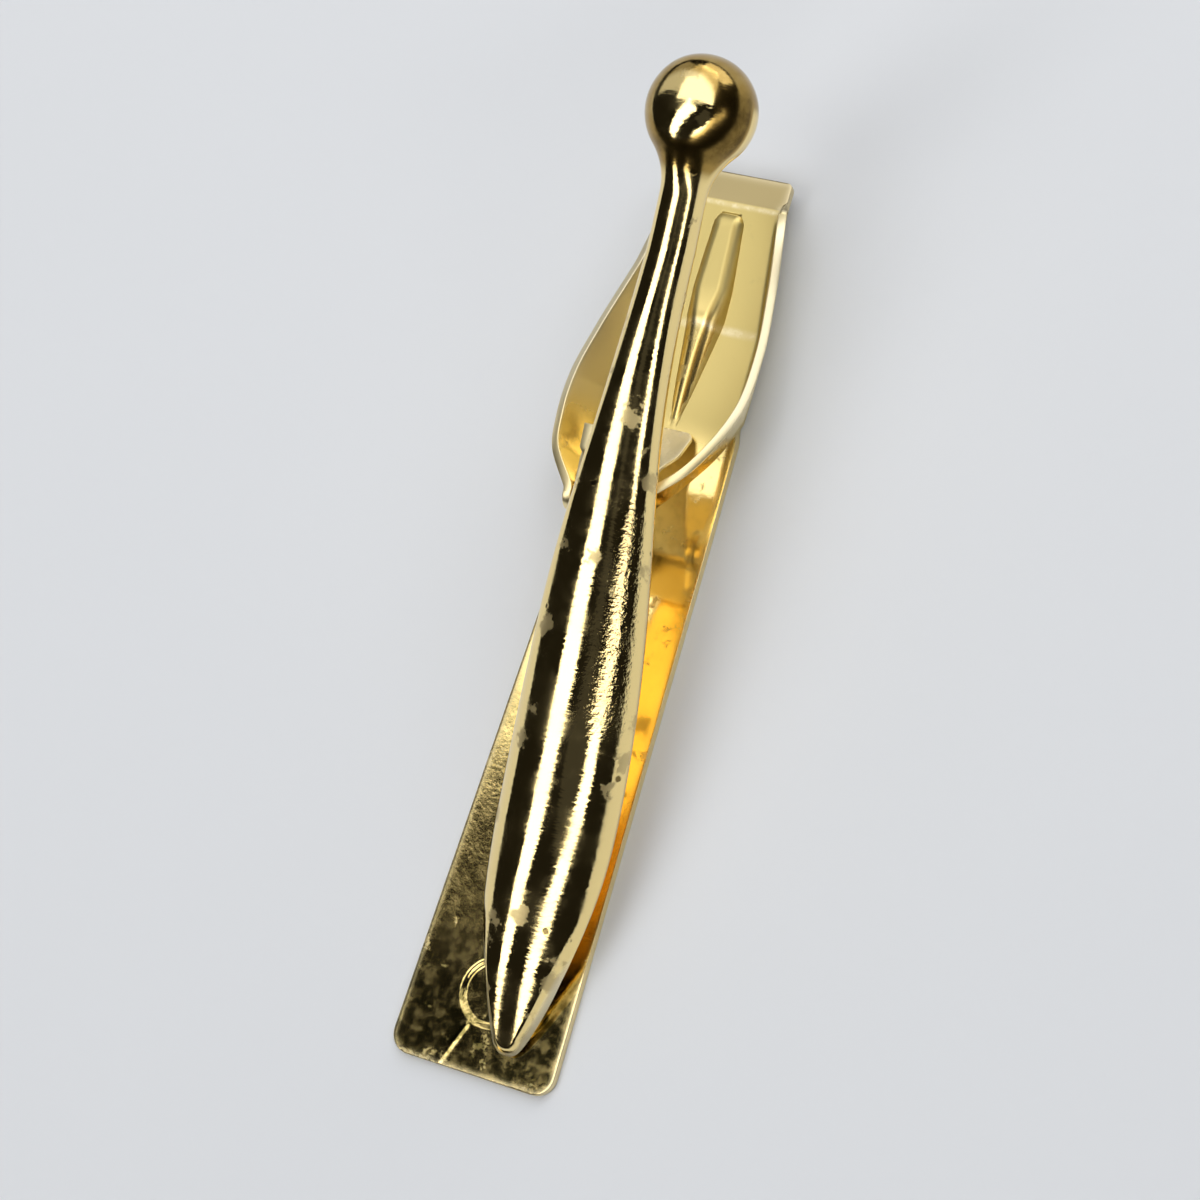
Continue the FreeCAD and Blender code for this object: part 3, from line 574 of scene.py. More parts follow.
def plate_half(lever, place):
    """Half width of the plate's outline, with its rounded corners."""
    half = float(np.interp(place, PLATE_PLACES, PLATE_HALVES))
    ends = ((lever.jaw_corner, place + lever.jaw_reach), (lever.tail_corner, lever.tail_reach - place))
    for radius, gap in ends:
        if gap < radius:
            half -= radius - math.sqrt(max(0.0, radius ** 2 - (radius - gap) ** 2))
    return half


def plate_lift(lever, place):
    """Height of the plate's underside: level, then the rising tail, then the falling lip."""
    crease_bend, lip_bend = 0.16, 0.096
    rise = math.tan(lever.tail_rise)
    fall = math.tan(lever.lip_fall)
    lip = lever.tail_reach - lever.lip_length
    tail = rise * soft_ramp(place - lever.crease_reach, crease_bend)
    return float(tail - (rise + fall) * soft_ramp(place - lip, lip_bend))


def rib_lift(lever, across, place):
    """Height of the pressed rib over the plate."""
    jaw_end, tail_end = (-0.03, 0.02), (0.985, 1.03)
    share = (place - lever.rib_jaw_reach) / (lever.rib_tail_reach - lever.rib_jaw_reach)
    if not jaw_end[0] < share < tail_end[1]:
        return 0.0
    half = lever.rib_half_width * float(np.interp(share, RIB_PLACES, RIB_WIDTHS))
    tall = lever.rib_height * float(np.interp(share, RIB_PLACES, RIB_HEIGHTS))
    ends = float(smooth_step(*jaw_end, share) * (1 - smooth_step(*tail_end, share)))
    side = float(smooth_step(half, half * np.interp(share, RIB_PLACES, RIB_TOPS), abs(across)))
    return tall * ends * side


def curve_at(knots, across, up, place):
    """Across and up at a place along a curve through the values given at the knots."""
    return np.array([float(through(knots, values, place)) for values in (across, up)])


def wing_edge(place):
    return curve_at(WING_PLACES, WING_EDGE_ACROSS, WING_EDGE_UP, place)


def fold_section(lever, place):
    """Across and up of the fold's and the wing's points at a place along the wing's foot."""
    half = plate_half(lever, place)
    lift = plate_lift(lever, place)
    base = np.array([half - FOLD_INSET, lift])
    edge = wing_edge(place)
    tall = np.linalg.norm(edge - base)
    heading = (edge - base) / max(tall, TINY)
    bend = min(FOLD, FOLD_SHARE * tall)
    start = base - np.array([FOLD, 0.0])
    finish = base + heading * bend
    fold = []
    for step in range(1, FOLD_STEPS + 1):
        share = step / FOLD_STEPS
        fold.append(start * (1 - share) ** 2 + base * 2 * share * (1 - share) + finish * share ** 2)
    wing = [finish + (edge - finish) * step / WING_STEPS for step in range(1, WING_STEPS + 1)]
    return fold, wing


def flat_fold(lever, place):
    """The same points as the first half of the fold, where the plate has no wing."""
    half = plate_half(lever, place)
    lift = plate_lift(lever, place)
    steps = FOLD_STEPS // 2
    return [np.array([half - FOLD + FOLD * step / steps, lift]) for step in range(1, steps + 1)]


def lever_rows(lever):
    """Places of the plate's rows, close together round the dimple and at rounded corners."""
    fine, coarse, room, wing_gap = 0.1, 0.28, 2.0, 0.15
    jaw_rows, wing_rows, lip_rows, tail_rows = 9, 66, 8, 5

    def corner(radius, count):
        return radius * (1 - np.cos(np.linspace(0, math.pi / 2, count)))

    jaw = -lever.jaw_reach
    dimple = jaw + lever.dimple_setback
    return np.concatenate([
        jaw + corner(lever.jaw_corner, jaw_rows),
        np.arange(jaw + lever.jaw_corner + fine, dimple - room, fine),
        np.arange(dimple - room, dimple + room, fine),
        np.arange(dimple + room, lever.wing_start - wing_gap, coarse),
        np.linspace(lever.wing_start, lever.wing_end, wing_rows),
        np.linspace(lever.wing_end, lever.tail_reach - lever.tail_corner, lip_rows)[1:-1],
        (lever.tail_reach - corner(lever.tail_corner, tail_rows))[::-1],
    ])


def lever_patch(lever):
    """The lever's outside surface: plate, folds, wings, horns and lugs as one sheet."""
    run_in, run_out = 1.1, 0.8
    inner_share, inner_columns, outer_columns = 0.5, 45, 14
    patch = Patch()
    middle = np.linspace(-inner_share, inner_share, inner_columns)
    beside = np.linspace(inner_share, 1.0, outer_columns)[1:]
    columns = np.concatenate([-beside[::-1], middle, beside])
    half_steps = FOLD_STEPS // 2
    previous = None
    wings_before = {}
    crotch = {}
    for place in lever_rows(lever):
        half = plate_half(lever, place) - FOLD
        lift = plate_lift(lever, place)
        row = [patch.add((across, place, lift + rib_lift(lever, across, place)))
               for across in columns * half]
        flat = flat_fold(lever, place)
        fold, wing = fold_section(lever, max(place, lever.wing_start))
        near = float(smooth_step(lever.wing_start - run_in, lever.wing_start, place))
        near *= float(1 - smooth_step(lever.wing_end - run_out, lever.wing_end, place))
        shaped = [a * (1 - near) + b * near for a, b in zip(flat, fold[:half_steps])]
        right = [patch.add((across, place, up)) for across, up in shaped]
        left = [patch.add((-across, place, up)) for across, up in shaped]
        row = left[::-1] + row + right
        if previous is not None:
            patch.strip(previous, row)
        wings = {}
        if lever.wing_start - TINY <= place < lever.wing_end - TINY:
            for side, foot in ((1, right[-1]), (-1, left[-1])):
                points = fold[half_steps:] + wing
                wings[side] = [foot] + [patch.add((side * across, place, up)) for across, up in points]
            crotch = crotch or dict(wings)
        for side, before in wings_before.items():
            stitch(patch, before, wings.get(side) or [row[-1] if side > 0 else row[0]] * len(before), side)
        wings_before = wings
        previous = row
    add_horns(patch, lever, crotch)
    return patch


def add_horns(patch, lever, crotch):
    """The free ends of the wings, twisting from the fold up to the round lugs on the pin."""
    horn_rows, lug_rows = 26, 8
    radius = lever.lug_radius
    for side, before in crotch.items():
        shares = np.linspace(0, 1, len(before))
        for place in np.linspace(lever.wing_start, 0.0, horn_rows + 1)[1:]:
            low = curve_at(HORN_PLACES, HORN_LOW_ACROSS, HORN_LOW_UP, place)
            spots = [low + (wing_edge(place) - low) * share for share in shares]
            row = [patch.add((side * across, place, up)) for across, up in spots]
            stitch(patch, row, before, side)
            before = row
        for step in range(1, lug_rows + 1):
            spots = [half_disc(step / lug_rows, 2 * share - 1) for share in shares]
            row = [patch.add((side * lever.lug_face, -along * radius, HINGE.z + up * radius))
                   for along, up in spots]
            stitch(patch, row, before, side)
            before = row


def stitch(patch, first, second, side):
    """Faces between two rows on the right, or between their mirror images on the left."""
    if side > 0:
        patch.strip(first, second)
    else:
        patch.strip(first[::-1], second[::-1])


def make_lever(lever):
    """One stamped sheet with its dimple pressed into the upper face."""
    dimple = -lever.jaw_reach + lever.dimple_setback
    rim_inside, rim_outside = 0.16, 0.04
    scratch_width, scratch_height = 0.08, 0.03
    wave_grain, wave_depth, flat_below = 5.0, 0.012, 1.0

    def press(points):
        gap = np.hypot(points[:, 0], points[:, 1] - dimple)
        sunk = 1 - smooth_step(lever.dimple_radius - rim_inside, lever.dimple_radius + rim_outside, gap)
        to_scratch = SCRATCH_END - SCRATCH_START
        share = ((points[:, :2] - SCRATCH_START) @ to_scratch) / to_scratch.dot(to_scratch)
        beside = points[:, :2] - SCRATCH_START - np.clip(share, 0.0, 1.0)[:, None] * to_scratch
        scratch = np.exp(-(np.hypot(beside[:, 0], beside[:, 1]) / scratch_width) ** 2)
        points[:, 2] += scratch_height * scratch - lever.dimple_depth * sunk
        wave = np.array([unevenness(point, wave_grain) for point in points])
        points[:, 2] += wave_depth * wave * (points[:, 2] < flat_below)
        return points

    work, rim = thicken(lever_patch(lever), lever.sheet, lever.rim_round, press=press)
    rim_distance(work, rim, "edge_wear", reach=0.25)
    rib = work.verts.layers.float.new("rib")
    for vert in work.verts:
        vert[rib] = rib_lift(lever, vert.co.x, vert.co.y) / lever.rib_height
    piece = new_piece("lever", work, Matrix.Translation(Vector((0.0, HINGE.y, 0.0))))
    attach(piece, "lever")
    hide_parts("back_lever")
    return piece


# The hinge: pin, bracket, solder and spring

def make_pin(hinge, lever):
    """Round pin with a domed, peened head at each end."""
    dome_height, foot_radius = hinge.head_height * 0.85, hinge.head_radius * 0.97
    dome_rings, count = 10, 48
    profile = [(0.0, 0.0)]
    for turn in np.linspace(0.0, math.pi / 2, dome_rings)[1:]:
        profile.append((dome_height * (1 - math.cos(turn)), hinge.head_radius * math.sin(turn)))
    profile.append((hinge.head_height, foot_radius))
    profile.append((hinge.head_height, hinge.pin_radius))
    end = lever.lug_face + hinge.head_height
    whole = [(place - end, radius) for place, radius in profile]
    whole += [(end - place, radius) for place, radius in reversed(profile)]
    placing = Matrix.Translation(HINGE) @ Matrix.Rotation(-math.pi / 2, 4, "Z")
    piece = new_piece("pin", turned(whole, count), placing)
    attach(piece, "lever")
    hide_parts("hinge_pin")
    return piece


def bracket_patch(hinge):
    """Outside of the bracket: web, folds and two ears with round ends, about the pin's axis."""
    fold, drop = 0.45, 0.1125
    columns, jaw_rows, ear_rows, tail_rows = 13, 5, 21, 8
    neck_rows, lug_rows = 5, 7
    patch = Patch()
    face = hinge.bracket_half_width
    lug = hinge.bracket_lug
    top = hinge.web_under + hinge.bracket_sheet
    jaw = -hinge.bracket_jaw_reach
    shoulder = 2 * lug
    rows = np.concatenate([np.linspace(jaw, -shoulder, jaw_rows)[:-1],
                           np.linspace(-shoulder, shoulder, ear_rows),
                           np.linspace(shoulder, jaw + hinge.bracket_length, tail_rows)[1:]])
    previous = None
    ears_before = {}
    for place in rows:
        is_ear = abs(place) <= shoulder + TINY
        eased = drop if is_ear else 0.0
        row = [patch.add((across, place, top)) for across in np.linspace(-1, 1, columns) * (face - fold)]
        edges = {side: patch.add((side * (face - eased), place, top - eased)) for side in (1, -1)}
        row = [edges[-1]] + row + [edges[1]]
        if previous is not None:
            patch.strip(previous, row)
        ears = {}
        for side in (1, -1) if is_ear else ():
            share = place / shoulder
            points = [edges[side]]
            for step in range(neck_rows + 1):
                up = (top - fold) * (1 - step / neck_rows)
                narrow = shoulder + (lug - shoulder) * step / neck_rows
                points.append(patch.add((side * face, share * narrow, up)))
            for step in range(1, lug_rows + 1):
                down, along = half_disc(step / lug_rows, share)
                points.append(patch.add((side * face, along * lug, -down * lug)))
            ears[side] = points
            if side in ears_before:
                stitch(patch, ears_before[side], points, side)
        ears_before = ears
        previous = row
    return patch


def on_bar_slope(bar):
    """From a frame on the pin, sloped with the bar, to the clip's frame."""
    return Matrix.Translation(HINGE) @ Matrix.Rotation(bar.slope, 4, "X")


def make_bracket(hinge, bar):
    """The sheet U that is soldered under the bar and turns on the pin."""
    work, rim = thicken(bracket_patch(hinge), hinge.bracket_sheet, rim_round=0.06, side=-1.0)
    rim_distance(work, rim, "edge_wear", reach=0.2)
    piece = new_piece("bracket", work, on_bar_slope(bar))
    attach(piece, "front")
    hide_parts("front_bracket")
    return piece


def signed_root(value):
    return math.copysign(math.sqrt(abs(value)), value)


def make_solder(hinge, bar):
    """A flat, slightly lumpy seam that bulges a little past the bracket's edge."""
    layers = ((0.94, 0.0), (1.0, 0.25), (1.03, 0.5), (1.0, 0.75), (0.94, 1.0))
    broad_waves, broad_lump, broad_start = 5, 0.05, 1.0
    fine_waves, fine_lump = 11, 0.03
    count = 56
    top = hinge.web_under + hinge.bracket_sheet
    middle = hinge.bracket_half_width - hinge.solder_width / 2
    start = -hinge.bracket_jaw_reach + hinge.bracket_length / 2
    work = bmesh.new()
    rings = []
    for share, height in layers:
        ring = []
        for turn in np.linspace(0, 2 * math.pi, count, endpoint=False):
            broad = broad_lump * math.sin(broad_waves * turn + broad_start)
            lump = share * (1 + broad + fine_lump * math.sin(fine_waves * turn))
            across = signed_root(math.cos(turn)) * hinge.solder_width / 2 * lump
            along = signed_root(math.sin(turn)) * hinge.solder_length / 2 * lump
            up = hinge.solder_thickness * height
            ring.append(work.verts.new((middle + across, start + along, top + up)))
        rings.append(ring)
    join_rings(work, rings)
    work.faces.new(rings[0])
    work.faces.new(rings[-1])
    piece = new_piece("solder", work, on_bar_slope(bar))
    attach(piece, "front")
    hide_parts("solder_seam")
    return piece


def spring_patch(hinge, bar, pin_height):
    """Outer face of the folded strip: upper leg, turn round the pin, lower leg and rounded foot."""
    corner, corner_steps = 0.5, 6
    columns, upper_rows, turn_rows, lower_rows = 15, 16, 30, 24
    flare_start, flare_end = 2.4, 3.6
    outer = hinge.pin_radius + hinge.spring_clearance + hinge.spring_sheet
    foot = pin_height - hinge.foot_clearance
    lean = math.asin(foot / math.hypot(hinge.spring_lower, outer)) - math.atan(outer / hinge.spring_lower)
    top = bar.slope + math.pi / 2
    low = 1.5 * math.pi - lean
    path = []
    for along in np.linspace(hinge.spring_upper, 0.0, upper_rows)[:-1]:
        path.append((outer * math.cos(top) + along * math.cos(bar.slope),
                     outer * math.sin(top) + along * math.sin(bar.slope)))
    for turn in np.linspace(top, low, turn_rows):
        path.append((outer * math.cos(turn), outer * math.sin(turn)))
    ends = hinge.spring_lower - corner + corner * np.sin(np.linspace(0, math.pi / 2, corner_steps + 1))
    for along in np.concatenate([np.linspace(0.0, hinge.spring_lower - corner, lower_rows)[1:-1], ends]):
        path.append((outer * math.cos(low) + along * math.cos(-lean),
                     outer * math.sin(low) + along * math.sin(-lean)))
    patch = Patch()
    previous = None
    for step, (along, up) in enumerate(path):
        half = (hinge.spring_waist + (hinge.spring_width - hinge.spring_waist)
                * float(smooth_step(flare_start, flare_end, along))) / 2
        to_foot = len(path) - 1 - step
        if to_foot <= corner_steps:
            turn = (1 - to_foot / corner_steps) * math.pi / 2
            half -= corner * (1 - math.cos(turn))
        row = [patch.add((share * half, along, up)) for share in np.linspace(-1, 1, columns)]
        if previous is not None:
            patch.strip(previous, row)
        previous = row
    return patch


def make_spring(hinge, bar, lever):
    """The leaf spring: its foot rests on the lever and its upper leg lies under the bar."""
    pin_height = HINGE.z - lever.sheet
    work, rim = thicken(spring_patch(hinge, bar, pin_height), hinge.spring_sheet, rim_round=0.03)
    rim_distance(work, rim, "edge_wear", reach=0.15)
    piece = new_piece("spring", work, Matrix.Translation(HINGE))
    below = HINGE - Vector((0.0, 0.0, hinge.pin_radius))
    above = HINGE + Vector((0.0, 0.0, hinge.pin_radius))
    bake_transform(piece)
    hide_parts("leaf_spring")
    return piece


# Finishes

def add_node(tree, kind, options=None, inputs=None):
    """Adds a shader node, sets its options, and sets or links its inputs."""
    node = tree.nodes.new("ShaderNode" + kind)
    for name, value in (options or {}).items():
        setattr(node, name, value)
    for name, value in (inputs or {}).items():
        if isinstance(value, bpy.types.NodeSocket):
            tree.links.new(value, node.inputs[name])
        else:
            node.inputs[name].default_value = value
    return node


def new_group(name, inputs, outputs):
    """An empty shader group that takes a place and named numbers, and gives named numbers."""
    tree = bpy.data.node_groups.new(name, "ShaderNodeTree")
    tree.interface.new_socket(name="Vector", in_out="INPUT", socket_type="NodeSocketVector")
    for label, default in inputs.items():
        socket = tree.interface.new_socket(name=label, in_out="INPUT", socket_type="NodeSocketFloat")
        socket.default_value = default
    for label in outputs:
        tree.interface.new_socket(name=label, in_out="OUTPUT", socket_type="NodeSocketFloat")
    start = tree.nodes.new("NodeGroupInput")
    finish = tree.nodes.new("NodeGroupOutput")
    return tree, start.outputs, finish.inputs


def blotch_group():
    """Cloudy patches with ragged edges: a mask of dull film on the plate."""
    inputs = {"Size": 1.0, "Threshold": 0.55, "Softness": 0.08}
    tree, given, put = new_group("tarnish_blotches", inputs, ["Mask"])
    scale = math_node(tree, "DIVIDE", 1.0, given["Size"])
    cloud = add_node(tree, "TexNoise", None,
                     {"Vector": given["Vector"], "Scale": scale, "Detail": 6.0, "Roughness": 0.66})
    low = math_node(tree, "SUBTRACT", given["Threshold"], given["Softness"])
    high = math_node(tree, "ADD", given["Threshold"], given["Softness"])
    tree.links.new(ramp(tree, cloud.outputs["Fac"], low, high), put["Mask"])
    return tree


def pit_group():
    """Scattered small pits: their depth and a mask of their floors."""
    rim, floor = 0.42, 0.24
    inputs = {"Size": 0.4, "Share": 0.3, "Ragged": 0.2}
    tree, given, put = new_group("casting_pits", inputs, ["Height", "Mask"])
    scale = math_node(tree, "DIVIDE", 1.0, given["Size"])
    stray = add_node(tree, "TexNoise", None,
                     {"Vector": given["Vector"], "Scale": 2.2, "Detail": 3.0, "Roughness": 0.6})
    centred = add_node(tree, "VectorMath", {"operation": "SUBTRACT"},
                       {0: stray.outputs["Color"], 1: (0.5, 0.5, 0.5)})
    pushed = add_node(tree, "VectorMath", {"operation": "SCALE"},
                      {"Vector": centred.outputs["Vector"], "Scale": given["Ragged"]})
    moved = add_node(tree, "VectorMath", {"operation": "ADD"},
                     {0: given["Vector"], 1: pushed.outputs["Vector"]})
    cells = add_node(tree, "TexVoronoi", {"feature": "F1"},
                     {"Vector": moved.outputs["Vector"], "Scale": scale, "Randomness": 1.0})
    parts = add_node(tree, "SeparateColor", None, {"Color": cells.outputs["Color"]})
    picked = math_node(tree, "LESS_THAN", parts.outputs["Red"], given["Share"])
    mask = times(tree, ramp(tree, cells.outputs["Distance"], rim, floor), picked)
    tree.links.new(math_node(tree, "SUBTRACT", 1.0, mask), put["Height"])
    tree.links.new(mask, put["Mask"])
    return tree


def grain_group():
    """Polishing grain: fine lumps, with long faint scratches along the piece."""
    shallow, deep = 0.56, 0.72
    tree, given, put = new_group("polish_grain", {"Lump Size": 0.5, "Scratches": 0.3}, ["Height"])
    scale = math_node(tree, "DIVIDE", 1.0, given["Lump Size"])
    lumps = add_node(tree, "TexNoise", None,
                     {"Vector": given["Vector"], "Scale": scale, "Detail": 3.0, "Roughness": 0.55})
    drawn = add_node(tree, "Mapping", None,
                     {"Vector": given["Vector"], "Rotation": (0.0, 0.0, 0.12), "Scale": (9.0, 0.35, 9.0)})
    lines = add_node(tree, "TexNoise", None,
                     {"Vector": drawn.outputs["Vector"], "Scale": 1.0, "Detail": 2.0, "Roughness": 0.5})
    cut = times(tree, ramp(tree, lines.outputs["Fac"], shallow, deep), given["Scratches"])
    tree.links.new(math_node(tree, "SUBTRACT", lumps.outputs["Fac"], cut), put["Height"])
    return tree


def shared_group(name):
    makers = {"tarnish_blotches": blotch_group, "casting_pits": pit_group, "polish_grain": grain_group}
    return bpy.data.node_groups.get(name) or makers[name]()


def use_group(tree, name, inputs):
    return add_node(tree, "Group", {"node_tree": shared_group(name)}, inputs).outputs


def blotches(tree, place, size, threshold, softness):
    inputs = {"Vector": place, "Size": size, "Threshold": threshold, "Softness": softness}
    return use_group(tree, "tarnish_blotches", inputs)["Mask"]


def pits(tree, place, size, share, ragged):
    return use_group(tree, "casting_pits", {"Vector": place, "Size": size, "Share": share, "Ragged": ragged})


def grain(tree, place, lump, scratches=0.0):
    inputs = {"Vector": place, "Lump Size": lump, "Scratches": scratches}
    return use_group(tree, "polish_grain", inputs)["Height"]


def attribute(tree, name):
    return add_node(tree, "Attribute", {"attribute_name": name}).outputs["Fac"]


def mix_colour(tree, share, first, second):
    """A colour between two colours, each a value or a socket."""
    first_place, second_place, result_place = 6, 7, 2
    first, second = [value if isinstance(value, bpy.types.NodeSocket) else (*value, 1.0)
                     for value in (first, second)]
    node = add_node(tree, "Mix", {"data_type": "RGBA"},
                    {"Factor": share, first_place: first, second_place: second})
    return node.outputs[result_place]


def mix_value(tree, share, first, second):
    """A number between two numbers, each a value or a socket."""
    node = add_node(tree, "Mix", {"data_type": "FLOAT"},
                    {"Factor": share, "A": first, "B": second})
    return node.outputs["Result"]


def math_node(tree, operation, first, second):
    return add_node(tree, "Math", {"operation": operation}, {0: first, 1: second}).outputs[0]


def times(tree, *factors):
    """Product of numbers and sockets."""
    product = factors[0]
    for factor in factors[1:]:
        product = math_node(tree, "MULTIPLY", product, factor)
    return product


def new_metal(name):
    """A material with only its output and a metal shader, and millimetre coordinates on the piece."""
    material = bpy.data.materials.new(name)
    material.use_nodes = True
    tree = material.node_tree
    tree.nodes.clear()
    shader = tree.nodes.new("ShaderNodeBsdfPrincipled")
    shader.inputs["Metallic"].default_value = 1.0
    output = tree.nodes.new("ShaderNodeOutputMaterial")
    tree.links.new(shader.outputs["BSDF"], output.inputs["Surface"])
    place = add_node(tree, "TexCoord")
    scaled = add_node(tree, "VectorMath", {"operation": "SCALE"},
                      {"Vector": place.outputs["Object"], "Scale": 1.0 / MM})
    return material, tree, shader, scaled.outputs["Vector"]


def bump(tree, height, depth, before=None):
    """Surface relief of a depth in millimetres, laid over another where one is given."""
    node = add_node(tree, "Bump", None, {"Strength": 1.0, "Distance": depth * MM, "Height": height})
    if before is not None:
        tree.links.new(before, node.inputs["Normal"])
    return node.outputs["Normal"]


def ramp(tree, value, low, high):
    """Nought below the low value and one above the high one, with a smooth step between."""
    return add_node(tree, "MapRange", {"interpolation_type": "SMOOTHSTEP"},
                    {"Value": value, "From Min": low, "From Max": high}).outputs["Result"]


def line_at(tree, value, middle, half):
    """One at the middle value, falling to nought half a width to either side."""
    return times(tree, ramp(tree, value, middle - half, middle), ramp(tree, value, middle + half, middle))


def layered(mix, tree, base, layers):
    """Lays colours or numbers over a base, each with the share that it covers."""
    for share, layer in layers:
        base = mix(tree, share, base, layer)
    return base


def connect(tree, shader, colour, roughness, normal):
    for name, socket in (("Base Color", colour), ("Roughness", roughness), ("Normal", normal)):
        tree.links.new(socket, shader.inputs[name])


def bar_material(finish):
    """Bright cast plate: dull spots, a few pits, a rippled polish, a rubbed flank; painted shade on the
    ball, a painted pale reflection on the tip's rim.
    """
    rubbed_start, rubbed_end, rubbed_side = (-8.5, -6.5), (4.5, 2.5), (2.4, 3.2)
    material, tree, shader, place = new_metal("bar_gold")
    parts = add_node(tree, "SeparateXYZ", None, {"Vector": place}).outputs
    patchy = blotches(tree, place, size=1.1, threshold=0.5, softness=0.2)
    # painted shade: the ball's flanks turn brown, then dark, standing in for the dark reflections there
    painted_ball_shade = times(tree, attribute(tree, "ball_film"), mix_value(tree, patchy, 0.75, 1.0))
    overlay = times(tree, pits(tree, place, size=1.6, share=0.30, ragged=1.1)["Mask"], 0.8)
    haze = blotches(tree, place, size=2.2, threshold=0.50, softness=0.10)
    holes = pits(tree, place, size=0.55, share=0.012, ragged=0.2)
    ripple = add_node(tree, "Mapping", None, {"Vector": place, "Scale": (1.2, 4.5, 1.2)}).outputs["Vector"]
    rubbed = times(tree, ramp(tree, parts["Y"], *rubbed_start), ramp(tree, parts["Y"], *rubbed_end),
                   ramp(tree, parts["X"], *rubbed_side))
    # painted reflection: the tip's bevelled rim is painted pale and rough, standing in for the pale table it
    # mirrors
    wear_and_sheen = ramp(tree, attribute(tree, "edge_wear"), 0.25, 0.75)
    gold = layered(mix_colour, tree, finish.bar_gold, (
        (times(tree, overlay, 0.55), finish.tarnish),
        (times(tree, holes["Mask"], 0.9), finish.dark_gold),
        (ramp(tree, painted_ball_shade, 0.0, 0.5), finish.deep_gold),
        (ramp(tree, painted_ball_shade, 0.5, 1.0), finish.dark_gold),
        (wear_and_sheen, finish.worn_gold)))
    rough = layered(mix_value, tree, 0.05, ((haze, 0.14), (painted_ball_shade, 0.24), (wear_and_sheen, 0.5), (overlay, 0.50)))
    normal = bump(tree, grain(tree, ripple, lump=1.0), depth=0.0095)
    normal = bump(tree, times(tree, grain(tree, place, lump=0.22), rubbed), depth=0.022, before=normal)
    normal = bump(tree, holes["Height"], depth=0.008, before=normal)
    connect(tree, shader, gold, rough, normal)
    return material


def sheet_material(finish, lever):
    """Rolled plate: grainy jaw going olive at its end, satin tail, polished rib, pale cut edges; painted
    highlights on the bends, painted shade on the lip and the rib's flank, painted light on the wing tops.
    """
    satin_start, polish_end = (7.0, 10.0), (17.0, 12.5)
    jaw_start, sand_end, darkening_start = (-6.0, -12.0), (-23.0, -17.0), (-17.5, -21.5)
    wing_side, wing_foot = (2.7, 3.2), (0.9, 1.8)
    lip_setback, lip_line, crease_line = 0.12, 0.22, 0.35
    material, tree, shader, place = new_metal("sheet_gold")
    parts = add_node(tree, "SeparateXYZ", None, {"Vector": place}).outputs
    along = parts["Y"]
    lip = HINGE.y + lever.tail_reach - lever.lip_length
    crease = HINGE.y + lever.crease_reach
    wear_and_sheen = attribute(tree, "edge_wear")
    inside = math_node(tree, "SUBTRACT", 1.0, wear_and_sheen)
    polished = times(tree, ramp(tree, attribute(tree, "rib"), 0.005, 0.035), ramp(tree, along, *polish_end))
    satin = math_node(tree, "SUBTRACT", ramp(tree, along, *satin_start), polished)
    satin = math_node(tree, "MAXIMUM", satin, 0.0)
    near_jaw = ramp(tree, along, *jaw_start)
    overlay = blotches(tree, place, size=1.2, threshold=0.64, softness=0.05)
    mottle = blotches(tree, place, size=0.7, threshold=0.52, softness=0.12)
    dull = times(tree, math_node(tree, "MAXIMUM", overlay, times(tree, mottle, near_jaw, 0.15)), inside)
    sanded = times(tree, ramp(tree, along, *sand_end), near_jaw)
    # dark olive that ramps in over the last few millimetres of the jaw, mottled
    jaw_end_darkening = times(tree, ramp(tree, along, *darkening_start), inside, mix_value(tree, mottle, 0.95, 0.35))
    # painted reflection: the rib's flank that faces right is painted brown, for the dark room it would
    # mirror
    facing = add_node(tree, "TexCoord").outputs["Normal"]
    facing = add_node(tree, "SeparateXYZ", None, {"Vector": facing}).outputs["X"]
    flank = times(tree, polished, ramp(tree, facing, 0.04, 0.16))
    aside = ramp(tree, math_node(tree, "ABSOLUTE", parts["X"], 0.0), *wing_side)
    # painted light: the wings' upper parts are painted pale where light falls on them
    wing = times(tree, ramp(tree, parts["Z"], *wing_foot), aside, satin)
    # painted highlights: pale lines along the lip's bend and the crease, where the bent sheet would catch
    # light
    bend_highlights = math_node(tree, "MAXIMUM", line_at(tree, along, lip - lip_setback, lip_line),
                      line_at(tree, along, crease, crease_line))
    bend_highlights = times(tree, bend_highlights, math_node(tree, "SUBTRACT", 1.0, aside), mix_value(tree, mottle, 0.3, 0.9))
    gold = layered(mix_colour, tree, finish.sheet_gold, (
        (times(tree, dull, 0.3), finish.tarnish),
        (times(tree, satin, 0.8), finish.satin_gold),
        (jaw_end_darkening, finish.jaw_olive),
        (times(tree, flank, 0.85), finish.deep_gold),
        # painted shade over the whole bent-down lip
        (times(tree, ramp(tree, along, lip, lip + 0.1), 0.7), finish.tarnish),
        (times(tree, wing, 0.8), finish.worn_gold),
        (times(tree, math_node(tree, "MAXIMUM", bend_highlights, wear_and_sheen), 0.8), finish.worn_gold)))
    rough = layered(mix_value, tree, 0.10, ((polished, 0.22), (satin, 0.42), (wear_and_sheen, 0.48), (dull, 0.40)))
    normal = bump(tree, grain(tree, place, lump=0.7, scratches=0.06), depth=0.0045)
    normal = bump(tree, times(tree, grain(tree, place, lump=0.2), sanded), depth=0.005, before=normal)
    connect(tree, shader, gold, rough, normal)
    return material


